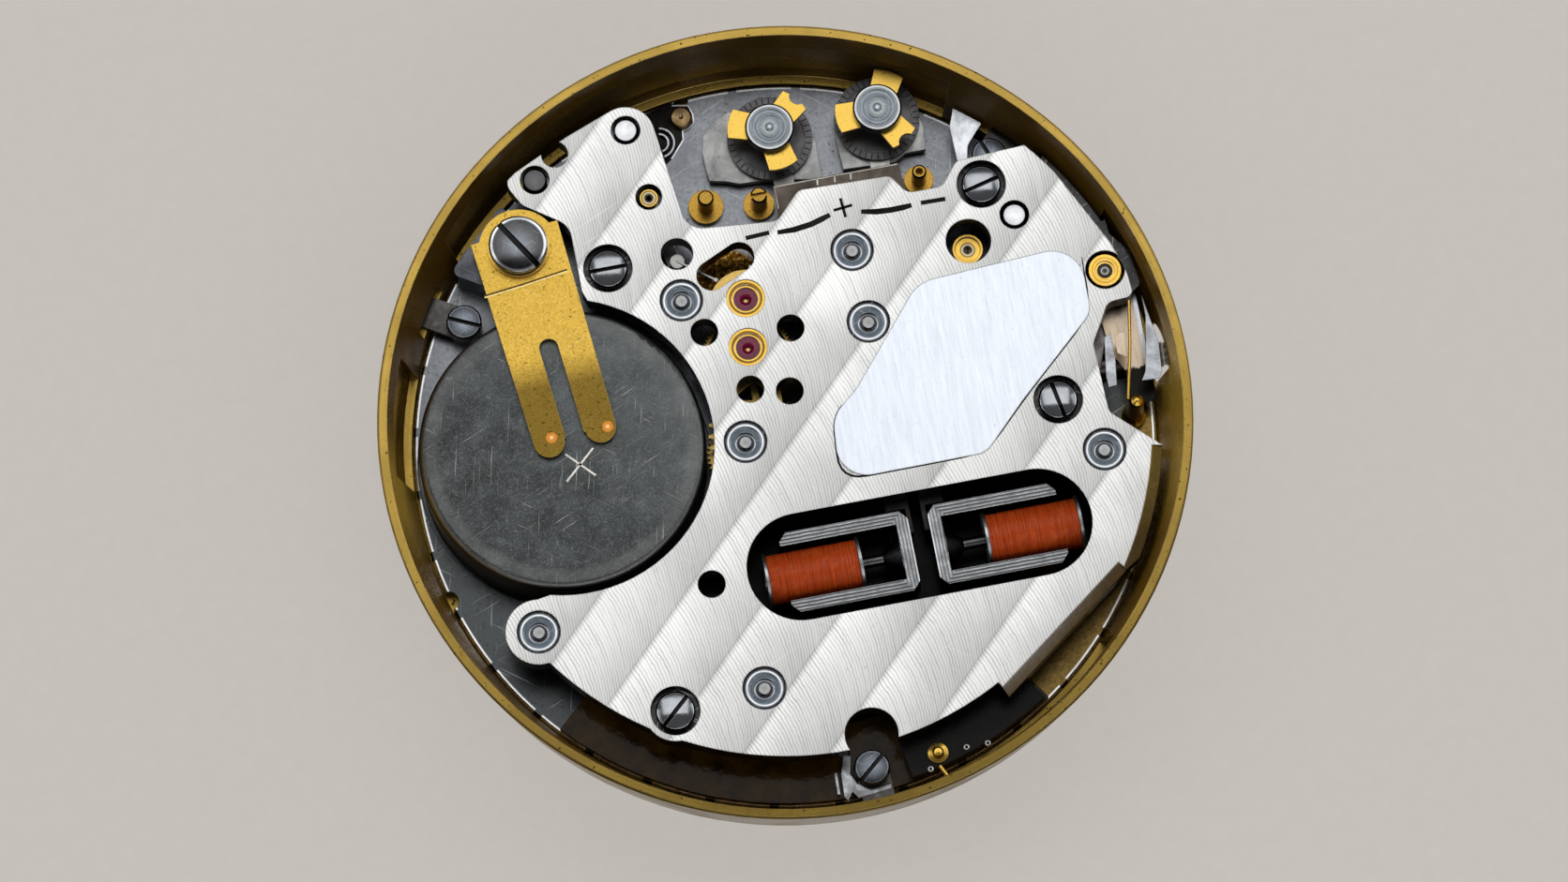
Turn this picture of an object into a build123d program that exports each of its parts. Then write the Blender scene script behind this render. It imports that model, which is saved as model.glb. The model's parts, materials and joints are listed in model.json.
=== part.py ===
from build123d import *
import math
import os

# Tuning fork watch movement in its brass casing ring, bridge side up. Millimetres.
# The origin is on the ring's axis at its lower face, +Z points to the bridge side and +X runs
# along the coils, close to the stem. Names ending in share or shares are fractions of
# MOVEMENT_R, the radius that the whole calibre is drawn on.

BASE = (Align.CENTER, Align.CENTER, Align.MIN)
OVERRUN = 0.4
RUNNING = 0.03
LOOSE = 0.08
CLOSE = 0.00001
FULL_DEGREES = (0, 360)

# Driving dimensions
MOVEMENT_R = 15.0
PLATE_R = 15.1

# Casing ring
RING_R = 16.35
RING_H = 8.0
RING_FOOT_R = 14.85
RING_NECK_R = 15.35
RING_SHOULDER_R = 15.9
RING_SHOULDER_Z = 4.1
RIM_BEVEL = 0.08
RIM_BORE_R = 15.95
WALL_FOOT_R = 15.15
SEAT_R = 14.45
SEAT_Z = 2.8
RECESS_Z = 3.62
RECESS_FLOOR_R = 15.5
RECESS_LOW_R = 15.74
RECESS_HIGH_R = 15.92
RECESS_HIGH_Z = 6.8
RECESS_DEGREES = ((-2, 24), (54, 140), (159, 177), (238, 316))
LAND_Z = 4.2
LAND_TOP_Z = 5.1
LAND_R = 15.62
LAND_HALF_DEGREES = 4
PORT_R = 1.3
PORT_START_R = 15.05

# Main plate
PLATE_UNDER_Z = 2.2
PLATE_TOP_Z = 3.6
PLATE_BODY_R = 14.42
PLATE_RIM_Z = 1.1
PLATE_RIM_R = 13.6
PLATE_BEVEL = 0.1
DIAL_FOOT_R = 0.3
DIAL_FOOT_SHARES = ((-0.103, 0.9276), (-0.127, -0.9246))
CALENDAR_POST_R = 0.6
CALENDAR_POST_PLACE_R = 9.0
CALENDAR_POST_DEGREES = (30, 135, 285)
EDGE_NOTCH_R = 0.4
EDGE_NOTCH_DEGREES = (96, 195)

# Train bridge
BRIDGE_UNDER_Z = 5.5
BRIDGE_TOP_Z = 6.6
BRIDGE_SOUTH_R = 13.55
BRIDGE_BEVEL = 0.45
BRIDGE_BEVEL_DROP = 0.3
BRIDGE_BEVEL_DEGREES = (-35, -14)
BRIDGE_CORNER_SHARES = (
    (-0.205, 0.985, 0.08), (-0.158, 0.583, 0.06), (0.086, 0.561, 0.035), (0.158, 0.635, 0.03),
    (0.408, 0.628, 0.02), (0.446, 0.572, 0.035), (0.543, 0.572, 0.035), (0.593, 0.635, 0.03),
    (0.803, 0.645, 0.02), (0.981, 0.285, 0.04), (0.990, 0.176, 0.02), (0.917, 0.171, 0.03),
    (0.856, 0.066, 0.03), (0.860, -0.127, 0.03), (0.958, -0.221, 0.01), (1.030, -0.290, 0.0),
    (1.030, -0.420, 0.0), (0.820, -0.560, 0.05), (0.430, -0.850, 0.0), (0.365, -0.826, 0.0),
    (0.330, -1.000, 0.0), (-0.580, -0.920, 0.0), (-0.860, -0.640, 0.0), (-0.835, -0.480, 0.0),
    (-0.790, -0.352, 0.02), (-0.660, -0.332, 0.0), (-0.470, -0.300, 0.0), (-0.330, 0.100, 0.0),
    (-0.467, 0.466, 0.02), (-0.467, 0.655, 0.06), (-0.582, 0.735, 0.04), (-0.622, 0.810, 0.03),
    (-0.430, 0.900, 0.01),
)
BRIDGE_FLANGE_SHARES = (
    (0.800, 0.560, 0.0), (0.836, 0.632, 0.01), (0.958, 0.425, 0.02), (0.962, 0.365, 0.01),
    (1.004, 0.310, 0.02), (1.018, 0.212, 0.02), (0.960, 0.172, 0.01), (0.900, 0.230, 0.0),
)
BRIDGE_FLANGE_TOP_Z = 6.15
BRIDGE_FLANGE_R = 15.45
BRIDGE_FLANGE_DEGREES = (0, 23)
BRIDGE_EAST_DEGREES = (-62, -10, 60, 120)
HUB_LOBE_R = 1.33
SCREW_LOBE_R = 1.24
SOUTH_NOTCH_R = 1.08
SOUTH_NOTCH_SHARE = (0.066, -0.872)
FIELD_CORNER_SHARES = (
    (0.425, 0.320, 0.10), (0.872, 0.345, 0.10), (0.866, 0.150, 0.06), (0.640, -0.052, 0.25),
    (0.515, -0.176, 0.06), (0.115, -0.178, 0.09), (0.130, 0.000, 0.09), (0.205, 0.060, 0.2),
)
FIELD_PROUD = 0.05
PILLAR_R = 0.72
KIDNEY_SHARES = ((-0.116, 0.445), (-0.034, 0.482))
KIDNEY_R = 0.62
EYELET_SHARES = ((-0.165, 0.294), (0.065, 0.262), (-0.073, 0.116), (0.030, 0.091), (-0.275, -0.391))
EYELET_R = 0.56
PIN_HOLE_SHARE = (-0.197, 0.522)
PIN_HOLE_R = 0.66
CORNER_HOLE_SHARE = (-0.470, 0.858)
CORNER_HOLE_R = 0.55
CUP_HOLE_SHARE = (0.582, 0.409)
CUP_HOLE_R = 0.92
CUP_BUSH_R = 0.62
CUP_BUSH_TOP_Z = 5.3

# Bridge screws
BRIDGE_SCREW_SHARES = ((-0.387, 0.518), (0.647, 0.559), (0.733, -0.068), (-0.434, -0.711))
BRIDGE_SCREW_DEGREES = (0, 14, 100, 42)
SCREW_HEAD_R = 0.8
SCREW_HEAD_H = 0.5
SCREW_SHANK_R = 0.4
SCREW_RECESS_R = 1.0
SCREW_RECESS_DEPTH = 0.55
SLOT_WIDTH = 0.17
SLOT_DEPTH = 0.2
HEAD_BEVEL = 0.07
SCREW_DEPTH = 1.2

# Pins, jewels and bushings
STEADY_PIN_SHARES = ((-0.269, 0.889), (0.718, 0.458), (-0.536, 0.798))
STEADY_PIN_R = 0.5
STEADY_PIN_RELIEF = 0.1
RUBY_SHARES = ((-0.038, 0.366), (-0.057, 0.232))
CHATON_R = 0.78
CHATON_H = 0.8
RUBY_R = 0.48
RUBY_H = 0.4
RUBY_SINK = 0.12
JEWEL_HOLE_R = 0.12
PIVOT_R = 0.08
PIVOT_GAP = 0.04
BUSHING_SHARES = (
    (-0.209, 0.393), (-0.113, -0.024), (0.269, 0.444), (0.274, 0.240),
    (0.828, -0.226), (-0.752, -0.432), (-0.190, -0.695),
)
BUSHING_R = 0.88
BUSHING_STEP_R = 0.62
BUSHING_CUP_R = 0.42
BUSHING_PIN_R = 0.24
BUSHING_SINK = 0.1
BUSHING_H = 0.7
SMALL_BUSH_SHARE = (-0.242, 0.693)
SMALL_BUSH_HOLE_R = 0.54
SMALL_BUSH_R = 0.37
ECCENTRIC_SHARE = (0.928, 0.261)
ECCENTRIC_R = 0.66
ECCENTRIC_HOLE_R = 0.8
ECCENTRIC_BORE_R = 0.3

# Button cell and its holder
CELL_R = 5.8
CELL_H = 3.6
CELL_SHARE = (-0.598, 0.056)
CELL_Z = 2.65
CELL_ROLL = 0.3
CELL_CAP_R = 4.9
CELL_CAP_STEP = 0.35
POCKET_GAP = 0.16
POCKET_DROP = 0.05
BRIDGE_CELL_GAP = 0.33
INSULATOR_T = 0.1
CONTACT_T = 0.05
CONTACT_W = 1.2
CONTACT_L = 6.0

# Battery strap
STRAP_SCREW_SHARE = (-0.613, 0.619)
STRAP_T = 0.2
STRAP_BASE_Z = 6.4
STRAP_DROP = 0.07
STRAP_END_R = 1.62
STRAP_W = 3.64
STRAP_HINGE_BACK = 1.35
STRAP_FINGER_W = 1.25
STRAP_REACH = 8.1
STRAP_SLOT_W = 0.77
STRAP_SLOT_START = 4.35
STRAP_TAPER = 0.12
STRAP_DEGREES = -84.2
DIMPLE_R = 0.2
STRAP_SCREW_HEAD_R = 1.2
STRAP_SCREW_HEAD_H = 0.38
STRAP_SCREW_SHANK_R = 0.45
STRAP_WASHER_R = 1.26
STRAP_WASHER_H = 0.22
STRAP_SLOT_WIDTH = 0.24
STRAP_SCREW_DEGREES = -58
BLOCK_SHARES = (
    (-0.805, 0.600, 0.02), (-0.775, 0.635, 0.02), (-0.640, 0.760, 0.01), (-0.585, 0.700, 0.02),
    (-0.530, 0.665, 0.04), (-0.515, 0.545, 0.03), (-0.715, 0.545, 0.01),
)
BLOCK_TOP_Z = 5.6

# Casing clamps
CLAMP_SHARES = ((-0.794, 0.473), (0.055, -0.939), (0.693, 0.665))
CLAMP_SCREW_DEGREES = (-25, 40, 110)
CLAMP_HEAD_R = 0.72
CLAMP_W = 1.3
CLAMP_T = 0.25
CLAMP_REACH = 15.55

# Fork, cups and coils
COIL_Y_SHARE = -0.389
COIL_Z = 5.0
CUP_GAP = 0.82
CUP_MIDDLE_SHARE = 0.303
CUP_L = 5.25
CUP_END_T = 0.5
CUP_OUTER_R = 1.86
CUP_INNER_R = 1.42
CUP_HALF_H = 0.85
CUP_TIP = 0.3
CONE_R = 0.95
CONE_TIP_R = 0.24
CONE_L = 0.75
MAGNET_R = 0.36
MAGNET_L = 3.4
COIL_R = 1.02
COIL_L = 3.7
COIL_START = 2.12
FLANGE_R = 1.12
FLANGE_T = 0.12
FORMER_R = 0.62
FORMER_BORE_R = 0.5
FORMER_FOOT_W = 1.3
WINDOW_L = 14.05
WINDOW_W = 4.4
WINDOW_SHARE = (0.291, -0.389)

FORK_Z = 3.75
FORK_T = 0.45
ARM_W = 0.8
ARM_SHARES = (
    (0.117, 0.833), (0.145, 0.620), (0.198, 0.500), (0.198, 0.130), (0.250, -0.060), (0.256, -0.255),
)
ARM_MIRROR_SHARE = 0.2667
ARM_RIGHT_SHIFT_SHARE = 0.036
ARM_HEEL_W = 0.95
ARM_HEEL_TOP_Z = 5.3
FORK_FOOT_W = 1.0
FORK_FOOT_TOP_Z = 5.2
FORK_POST_R = 0.36
BLADE_T = 0.12
BLADE_GAP = 0.07
BLADE_START_SHARE = 0.175
BLADE_END_SHARE = 0.52
FOOT_BAR_L = 0.6

# Rate regulators
REGULATOR_SHARES = ((0.117, 0.833), (0.4145, 0.832))
REGULATOR_DIAL_R = 1.75
REGULATOR_DIAL_T = 0.16
REGULATOR_RIM_W = 0.32
REGULATOR_RIM_H = 0.06
REGULATOR_SHAFT_R = 0.42
REGULATOR_NECK_W = 0.08
STAR_Z = 5.5
STAR_T = 0.22
STAR_HUB_R = 0.9
STAR_REACH = 1.72
STAR_ARM_W = 1.0
STAR_ARM_FLARE = 0.12
STAR_NOTCH_R = 0.36
STAR_DEGREES = (160, 62)
CAP_R = 1.0
CAP_H = 0.42
CAP_GROOVE = 0.06
CAP_PIN_R = 0.16
INDEX_PLATE_SHARES = ((0.097, 0.560), (0.097, 0.679), (0.444, 0.679), (0.449, 0.560))
INDEX_PLATE_T = 0.25

# Index wheel and pawls
INDEX_WHEEL_R = 1.5
PAWL_T = 0.08
PAWL_H = 0.25
PAWL_JEWEL = 0.16
PAWL_GAP = 0.03
DRIVE_PAWL_START_SHARE = 0.478
DRIVE_PAWL_DEGREES = 72
HOLD_PAWL_DEGREES = 128
HOLD_POST_R = 0.3

# Going train
WHEEL_T = 0.15
ARBOR_R = 0.14
INDEX_Z = 5.27
INTERMEDIATE_Z = 4.35
SECONDS_Z = 4.95
THIRD_Z = 4.35
CENTRE_Z = 3.8
PINION_LAP = 0.12
INDEX_PINION_TEETH = 6
INTERMEDIATE_TEETH = 72
INTERMEDIATE_PINION_TEETH = 8
SECONDS_TEETH = 40
SECONDS_PINION_TEETH = 6
THIRD_TEETH = 45
THIRD_PINION_TEETH = 6
CENTRE_TEETH = 48
THIRD_ARBOR_SHARE = (-0.113, -0.024)
ADDENDUM_MODULES = 0.8
DEDENDUM_MODULES = 1.05
TOOTH_ROOT_PITCHES = 0.58
TOOTH_TIP_PITCHES = 0.24
SPOKES = 4
SPOKE_W = 0.3
WHEEL_RIM_MODULES = 3.2
PLATE_JEWEL_R = 0.4
PLATE_JEWEL_H = 0.3

# Motion work and calendar
MOTION_DISTANCE = 2.6
MOTION_DEGREES = 300
CANNON_TEETH = 10
MINUTE_TEETH = 30
MINUTE_PINION_TEETH = 8
HOUR_TEETH = 32
DATE_WHEEL_TEETH = 64
DATE_WHEEL_DEGREES = 200
CANNON_Z = 1.82
CANNON_TOOTH_H = 0.3
CANNON_BOTTOM_Z = 0.3
CANNON_R = 0.5
CANNON_SEAT_L = 0.2
CANNON_WAIST_R = 0.51
CENTRE_TUBE_R = 0.34
CENTRE_TUBE_BORE_R = 0.2
SECONDS_ARBOR_R = 0.15
SECONDS_ARBOR_BOTTOM_Z = 0.1
SECONDS_SEAT_L = 0.17
SECONDS_WAIST_R = 0.17
MINUTE_Z = 1.88
HOUR_Z = 1.6
HOUR_PIPE_R = 0.8
HOUR_PIPE_BOTTOM_Z = 0.55
HOUR_SEAT_L = 0.45
HOUR_WAIST_R = 0.83
CALENDAR_Z = 1.12
CALENDAR_T = 0.13
CALENDAR_R = 11.0
CALENDAR_HOLE_R = 0.9
DATE_RING_Z = 1.33
DATE_RING_T = 0.16
DATE_RING_GAP = 0.08
DATE_RING_R = PLATE_RIM_R - DATE_RING_GAP
DATE_RING_INNER_R = 11.2
DATE_TIP_R = 10.7
DATE_DAYS = 31
FINGER_L = 4.8
FINGER_W = 0.3
FINGER_DEGREES = 300
JUMPER_DEGREES = 60
JUMPER_ARM_DEGREES = 84
JUMPER_ARM_R = 8.8
JUMPER_W = 0.28
JUMPER_BEAK_W = 0.7
JUMPER_POST_R = 0.35
DIAL_SCREW_R = 0.55
DIAL_SCREW_HEAD_H = 0.1
DIAL_SCREW_SHANK_R = 0.25

# Stem and keyless work
STEM_DEGREES = 2.4
STEM_Z = 3.9
STEM_END_R = 16.15
STEM_THREAD_R = 0.46
STEM_THREAD_START_R = 15.2
STEM_BODY_END_R = 14.6
STEM_BODY_R = 0.5
STEM_BODY_START_R = 10.6
STEM_GROOVE_R = 12.75
STEM_GROOVE_W = 0.36
STEM_GROOVE_CORE_R = 0.28
STEM_SQUARE_W = 0.5
STEM_SQUARE_START_R = 8.2
STEM_PIVOT_R = 0.2
STEM_CHANNEL_GAP = 0.1
PINION_START_R = 8.7
PINION_END_R = 10.0
PINION_R = 0.72
PINION_GROOVE_R = 0.48
PINION_GROOVE_W = 0.34
PINION_CROWN_TEETH = 8
PINION_SHIFT = 0.5
STEM_TRAVEL = 0.8
STEM_PIVOT_START_R = PINION_START_R - PINION_SHIFT - STEM_TRAVEL
LEVER_Z = 4.62
LEVER_T = 0.22
LEVER_W = 0.8
LEVER_PEG_R = 0.12
LEVER_PEG_TIP_Z = 4.24
LEVER_POST_R = 0.27
YOKE_T = 0.2
YOKE_W = 0.5
YOKE_L = 2.6
COVER_Z = 4.95
COVER_T = 0.15
COVER_SHARES = (
    (0.895, 0.215, 0.0), (1.005, 0.215, 0.02), (1.005, -0.095, 0.02), (0.935, -0.095, 0.0),
    (0.935, 0.000, 0.0), (0.905, 0.060, 0.0),
)
COVER_POST_R = 0.22
COVER_POST_SHARES = ((0.955, -0.080), (0.968, 0.200))

# Stop lever, posts and circuit
LEAF_SHARES = (
    (0.605, 0.620, 0.01), (0.602, 0.760, 0.03), (0.628, 0.828, 0.02), (0.648, 0.812, 0.01),
    (0.700, 0.765, 0.02), (0.640, 0.700, 0.04), (0.622, 0.620, 0.01),
)
LEAF_Z = 4.8
LEAF_T = 0.3
LEAF_POST_SHARE = (0.640, 0.745)
LEAF_POST_R = 0.35
POST_SHARES = ((-0.088, 0.685), (0.055, 0.664), (0.496, 0.650))
POST_RADII = (0.33, 0.34, 0.3)
POST_COLLAR_RADII = (0.72, 0.64, 0.6)
POST_TOP_Z = (5.3, 5.4, 5.2)
POST_COLLAR_H = 0.3
CIRCUIT_INNER_R = 10.6
CIRCUIT_DEGREES = (279, 303)
CIRCUIT_TOP_Z = 4.9
CARRIER_INNER_R = 12.0
CARRIER_DEGREES = (222, 304)
CARRIER_T = 0.5
BLOCK_EDGE_R = 15.0
REACH_R = 15.3


def at(share):
    """A place in the plane from its shares of the movement's radius."""
    return share[0] * MOVEMENT_R, share[1] * MOVEMENT_R


def polar(radius, degrees):
    """A place in the plane from a radius and an angle."""
    return radius * math.cos(math.radians(degrees)), radius * math.sin(math.radians(degrees))


def between(a, b):
    """Distance and direction in degrees from one place to another."""
    return math.hypot(b[0] - a[0], b[1] - a[1]), math.degrees(math.atan2(b[1] - a[1], b[0] - a[0]))


def disc(radius, low, high, place=(0, 0)):
    """Upright cylinder between two levels."""
    return Pos(place[0], place[1], low) * Cylinder(radius, high - low, align=BASE)


def tube(outer, inner, low, high, place=(0, 0)):
    """Upright tube between two levels."""
    return disc(outer, low, high, place) - disc(inner, low - OVERRUN, high + OVERRUN, place)


def frustum(low_r, high_r, low, high):
    """Upright cone on the ring's axis between two levels."""
    return Pos(0, 0, low) * Cone(low_r, high_r, high - low, align=BASE)


def turned(points, span=FULL_DEGREES):
    """Piece turned about the ring's axis from a profile of radii and levels, between two angles."""
    start, end = span
    profile = Plane.XZ * Polygon(*points, align=None)
    return Rot(0, 0, start) * revolve(profile, Axis.Z, revolution_arc=end - start)


def slab(face, low, high):
    """Flat piece cut from a face in the plane, between two levels."""
    return extrude(Pos(0, 0, low) * face, amount=high - low, dir=(0, 0, 1))


def rounded(corners):
    """Face inside a polygon whose corners (x, y, radius) are rounded by tangent arcs."""
    count = len(corners)
    edges = []
    starts = []
    ends = []
    mids = []
    for i, (x, y, radius) in enumerate(corners):
        here = Vector(x, y)
        before = Vector(*corners[i - 1][:2])
        after = Vector(*corners[(i + 1) % count][:2])
        back = before - here
        on = after - here
        cosine = back.normalized().dot(on.normalized())
        half = math.acos(max(-1.0, min(1.0, cosine))) / 2
        run = radius / math.tan(half) if radius else 0
        limit = min(back.length, on.length) / 2
        share = min(1.0, limit / run) if run else 0
        run = run * share
        starts.append(here + back.normalized() * run)
        ends.append(here + on.normalized() * run)
        middle = (back.normalized() + on.normalized()).normalized()
        inset = radius * share * (1 / math.sin(half) - 1) if radius else 0
        mids.append(here + middle * inset)
    for i in range(count):
        if (ends[i] - starts[i]).length > CLOSE:
            edges.append(ThreePointArc(starts[i], mids[i], ends[i]))
        following = starts[(i + 1) % count]
        if (following - ends[i]).length > CLOSE:
            edges.append(Line(ends[i], following))
    return make_face(edges)


def scaled(shares):
    """Corners of an outline given as shares of the movement's radius."""
    return [(x * MOVEMENT_R, y * MOVEMENT_R, r * MOVEMENT_R) for x, y, r in shares]


def sector(inner, outer, span, low, high):
    """Piece of a flat ring between two angles."""
    start, end = span
    reach = outer / math.cos(math.radians(end - start) / 4)
    wedge = Polygon(
        (0, 0), polar(reach, start), polar(reach, (start + end) / 2), polar(reach, end), align=None
    )
    return slab((Circle(outer) - Circle(inner)) & wedge, low, high)


def bar(start, end, width, low, high, square=False):
    """Flat bar between two places, with round ends unless square is set."""
    length, degrees = between(start, end)
    body = Pos(length / 2, 0) * Rectangle(length, width)
    if not square:
        body = body + Circle(width / 2) + Pos(length, 0) * Circle(width / 2)
    return slab(Pos(*start) * Rot(0, 0, degrees) * body, low, high)


def slotted_screw(place, head_r, head_h, seat, shank_r, depth, turn, slot_w, slot_d):
    """Cheese head screw with a bevelled rim and a slot, seated at a level and driven from above."""
    top = seat + head_h
    head = disc(head_r, seat, top, place)
    head = chamfer(head.edges().group_by(Axis.Z)[-1], HEAD_BEVEL)
    slot = Pos(place[0], place[1], top - slot_d) * Rot(0, 0, turn) * Box(
        head_r * 2 + OVERRUN, slot_w, slot_d + OVERRUN, align=BASE
    )
    return (head - slot) + disc(shank_r, seat - depth, seat + head_h / 2, place)


def toothed(teeth, module, phase=0.0, inward=False):
    """Face of a toothed rim: straight flanked teeth on the pitch circle, the first at phase degrees."""
    pitch = 360 / teeth
    side = -1 if inward else 1
    pitch_r = module * teeth / 2
    tip_r = pitch_r + side * ADDENDUM_MODULES * module
    root_r = pitch_r - side * DEDENDUM_MODULES * module
    points = []
    for i in range(teeth):
        middle = phase + i * pitch
        points.append(polar(root_r, middle - TOOTH_ROOT_PITCHES * pitch / 2))
        points.append(polar(tip_r, middle - TOOTH_TIP_PITCHES * pitch / 2))
        points.append(polar(tip_r, middle + TOOTH_TIP_PITCHES * pitch / 2))
        points.append(polar(root_r, middle + TOOTH_ROOT_PITCHES * pitch / 2))
    return Polygon(*points, align=None)


def spoked_wheel(teeth, module, phase, bore):
    """Face of a crossed-out wheel: toothed rim, spokes and hub, with a round bore."""
    outer = toothed(teeth, module, phase)
    rim = module * teeth / 2 - WHEEL_RIM_MODULES * module
    hub = bore + SPOKE_W
    face = outer - Circle(rim) + Circle(hub)
    for i in range(SPOKES // 2):
        face = face + Rot(0, 0, i * 360 / SPOKES) * Rectangle(2 * rim + SPOKE_W / 2, SPOKE_W)
    return face - Circle(bore) if bore else face


def mesh_phase(teeth, toward, tooth_there):
    """Phase in degrees that puts a tooth, or a gap, on the line of centres."""
    return toward if tooth_there else toward + 180 / teeth


CELL_PLACE = at(CELL_SHARE)
STRAP_PLACE = at(STRAP_SCREW_SHARE)
ECCENTRIC_PLACE = at(ECCENTRIC_SHARE)
INDEX_PLACE = at(RUBY_SHARES[0])
INTERMEDIATE_PLACE = at(RUBY_SHARES[1])
THIRD_PLACE = at(THIRD_ARBOR_SHARE)
TRAIN_PLACES = (INDEX_PLACE, INTERMEDIATE_PLACE, THIRD_PLACE)
COIL_Y = COIL_Y_SHARE * MOVEMENT_R
CUP_MIDDLE = CUP_MIDDLE_SHARE * MOVEMENT_R
MINUTE_PLACE = polar(MOTION_DISTANCE, MOTION_DEGREES)
MOTION_MODULE = 2 * MOTION_DISTANCE / (CANNON_TEETH + MINUTE_TEETH)
DATE_WHEEL_DISTANCE = MOTION_MODULE * (HOUR_TEETH + DATE_WHEEL_TEETH) / 2
DATE_WHEEL_PLACE = polar(DATE_WHEEL_DISTANCE, DATE_WHEEL_DEGREES)


def stem_place(radius, aside=0.0):
    """A place in the plane on the stem's axis, or beside it."""
    along = polar(radius, STEM_DEGREES)
    across = polar(aside, STEM_DEGREES + 90)
    return along[0] + across[0], along[1] + across[1]


def stem_turned(radius, start_r, end_r, level=STEM_Z):
    """Cylinder lying along the stem's axis between two distances from the centre."""
    place = stem_place(start_r)
    lie = Pos(place[0], place[1], level) * Rot(0, 0, STEM_DEGREES) * Rot(0, 90, 0)
    return lie * Cylinder(radius, end_r - start_r, align=BASE)


def land_span(share):
    """Angles between which the ring is flat for the clamp at a place."""
    _, degrees = between((0, 0), share)
    degrees = degrees % 360
    return degrees - LAND_HALF_DEGREES, degrees + LAND_HALF_DEGREES


def casing_ring():
    """Ring with a conical inner wall, a seat for the plate, recesses, clamp lands and the stem's port."""
    ring = turned([
        (SEAT_R, 0), (RING_FOOT_R, 0), (RING_NECK_R, SEAT_Z), (RING_SHOULDER_R, RING_SHOULDER_Z),
        (RING_R, RING_H - RIM_BEVEL), (RING_R - RIM_BEVEL, RING_H), (RIM_BORE_R, RING_H),
        (WALL_FOOT_R, PLATE_TOP_Z), (WALL_FOOT_R, SEAT_Z), (SEAT_R, SEAT_Z),
    ])
    lands = [land_span(share) for share in CLAMP_SHARES]
    for span in RECESS_DEGREES:
        recess = turned([
            (SEAT_R, RECESS_Z), (RECESS_FLOOR_R, RECESS_Z), (RECESS_LOW_R, RING_SHOULDER_Z),
            (RECESS_HIGH_R, RECESS_HIGH_Z), (SEAT_R, RECESS_HIGH_Z),
        ], span)
        for land in lands:
            recess = recess - sector(SEAT_R - OVERRUN, RING_R, land, 0, LAND_Z)
        ring = ring - recess
    for land in lands:
        ring = ring - sector(SEAT_R, LAND_R, land, LAND_Z, LAND_TOP_Z)
    return ring - stem_turned(PORT_R, PORT_START_R, RING_R + OVERRUN)


def main_plate():
    """Plate with its dial-side rim, the cell pocket, the fork and wheel sinks and the stem channel."""
    plate = disc(PLATE_R, SEAT_Z, PLATE_TOP_Z)
    plate = chamfer(plate.edges().filter_by(GeomType.CIRCLE).group_by(Axis.Z)[-1], PLATE_BEVEL)
    plate = plate + disc(PLATE_BODY_R, PLATE_RIM_Z, SEAT_Z + OVERRUN)
    plate = plate - disc(PLATE_RIM_R, PLATE_RIM_Z - OVERRUN, PLATE_UNDER_Z)
    plate = plate - disc(CELL_CAP_R + POCKET_GAP, CELL_Z - INSULATOR_T, RING_H, CELL_PLACE)
    shelf = CELL_Z + CELL_CAP_STEP - POCKET_DROP
    plate = plate - disc(CELL_R + POCKET_GAP, shelf, RING_H, CELL_PLACE)
    for share in DIAL_FOOT_SHARES:
        plate = plate - disc(DIAL_FOOT_R, 0, RING_H, at(share))
    for degrees in EDGE_NOTCH_DEGREES:
        plate = plate - disc(EDGE_NOTCH_R, 0, RING_H, polar(PLATE_R, degrees))
    for degrees in CALENDAR_POST_DEGREES:
        place = polar(CALENDAR_POST_PLACE_R, degrees)
        plate = plate + disc(CALENDAR_POST_R, CALENDAR_Z + CALENDAR_T, PLATE_UNDER_Z + PLATE_BEVEL, place)
        plate = plate - disc(DIAL_SCREW_SHANK_R + RUNNING, 0, PLATE_UNDER_Z + OVERRUN, place)
    channel = STEM_BODY_R + STEM_CHANNEL_GAP
    plate = plate - stem_turned(channel, STEM_PIVOT_START_R, RING_R)
    pit = PINION_R + STEM_CHANNEL_GAP
    plate = plate - stem_turned(pit, PINION_START_R - PINION_SHIFT - OVERRUN, PINION_END_R + OVERRUN)
    plate = plate - disc(CENTRE_TUBE_R + RUNNING, 0, RING_H)
    for place in TRAIN_PLACES:
        plate = plate - disc(PLATE_JEWEL_R, PLATE_TOP_Z - PLATE_JEWEL_H, RING_H, place)
    for share in BUSHING_SHARES[2:4]:
        plate = plate - disc(FORK_POST_R, 0, RING_H, at(share))
    for share in BRIDGE_SCREW_SHARES:
        plate = plate - disc(SCREW_SHANK_R, PLATE_UNDER_Z + OVERRUN, RING_H, at(share))
    low = CALENDAR_Z + CALENDAR_T
    root = PLATE_UNDER_Z + PLATE_BEVEL
    stud = disc(2 * PIVOT_R, low + OVERRUN, root, MINUTE_PLACE)
    date_stud = disc(2 * PIVOT_R, low, root, DATE_WHEEL_PLACE)
    jumper_post = disc(JUMPER_POST_R, low, root, polar(JUMPER_ARM_R, JUMPER_ARM_DEGREES))
    return plate + stud + date_stud + jumper_post


def bridge_outline():
    """Face of the bridge: a cornered outline bounded by the movement's edge and the cell's cut-out."""
    face = rounded(scaled(BRIDGE_CORNER_SHARES))
    reach = 2 * RING_R
    fan = [polar(reach, degrees) for degrees in BRIDGE_EAST_DEGREES]
    east = Polygon((0, 0), *fan, (-reach, 0), align=None)
    allowed = Circle(BRIDGE_SOUTH_R) + (Circle(PLATE_R + PLATE_BEVEL) & east)
    face = face & allowed
    face = face + Pos(*at(BUSHING_SHARES[5])) * Circle(HUB_LOBE_R)
    face = face + Pos(*at(BRIDGE_SCREW_SHARES[3])) * Circle(SCREW_LOBE_R)
    face = face - Pos(*CELL_PLACE) * Circle(CELL_R + BRIDGE_CELL_GAP)
    return face - Pos(*at(SOUTH_NOTCH_SHARE)) * Circle(SOUTH_NOTCH_R)


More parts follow.
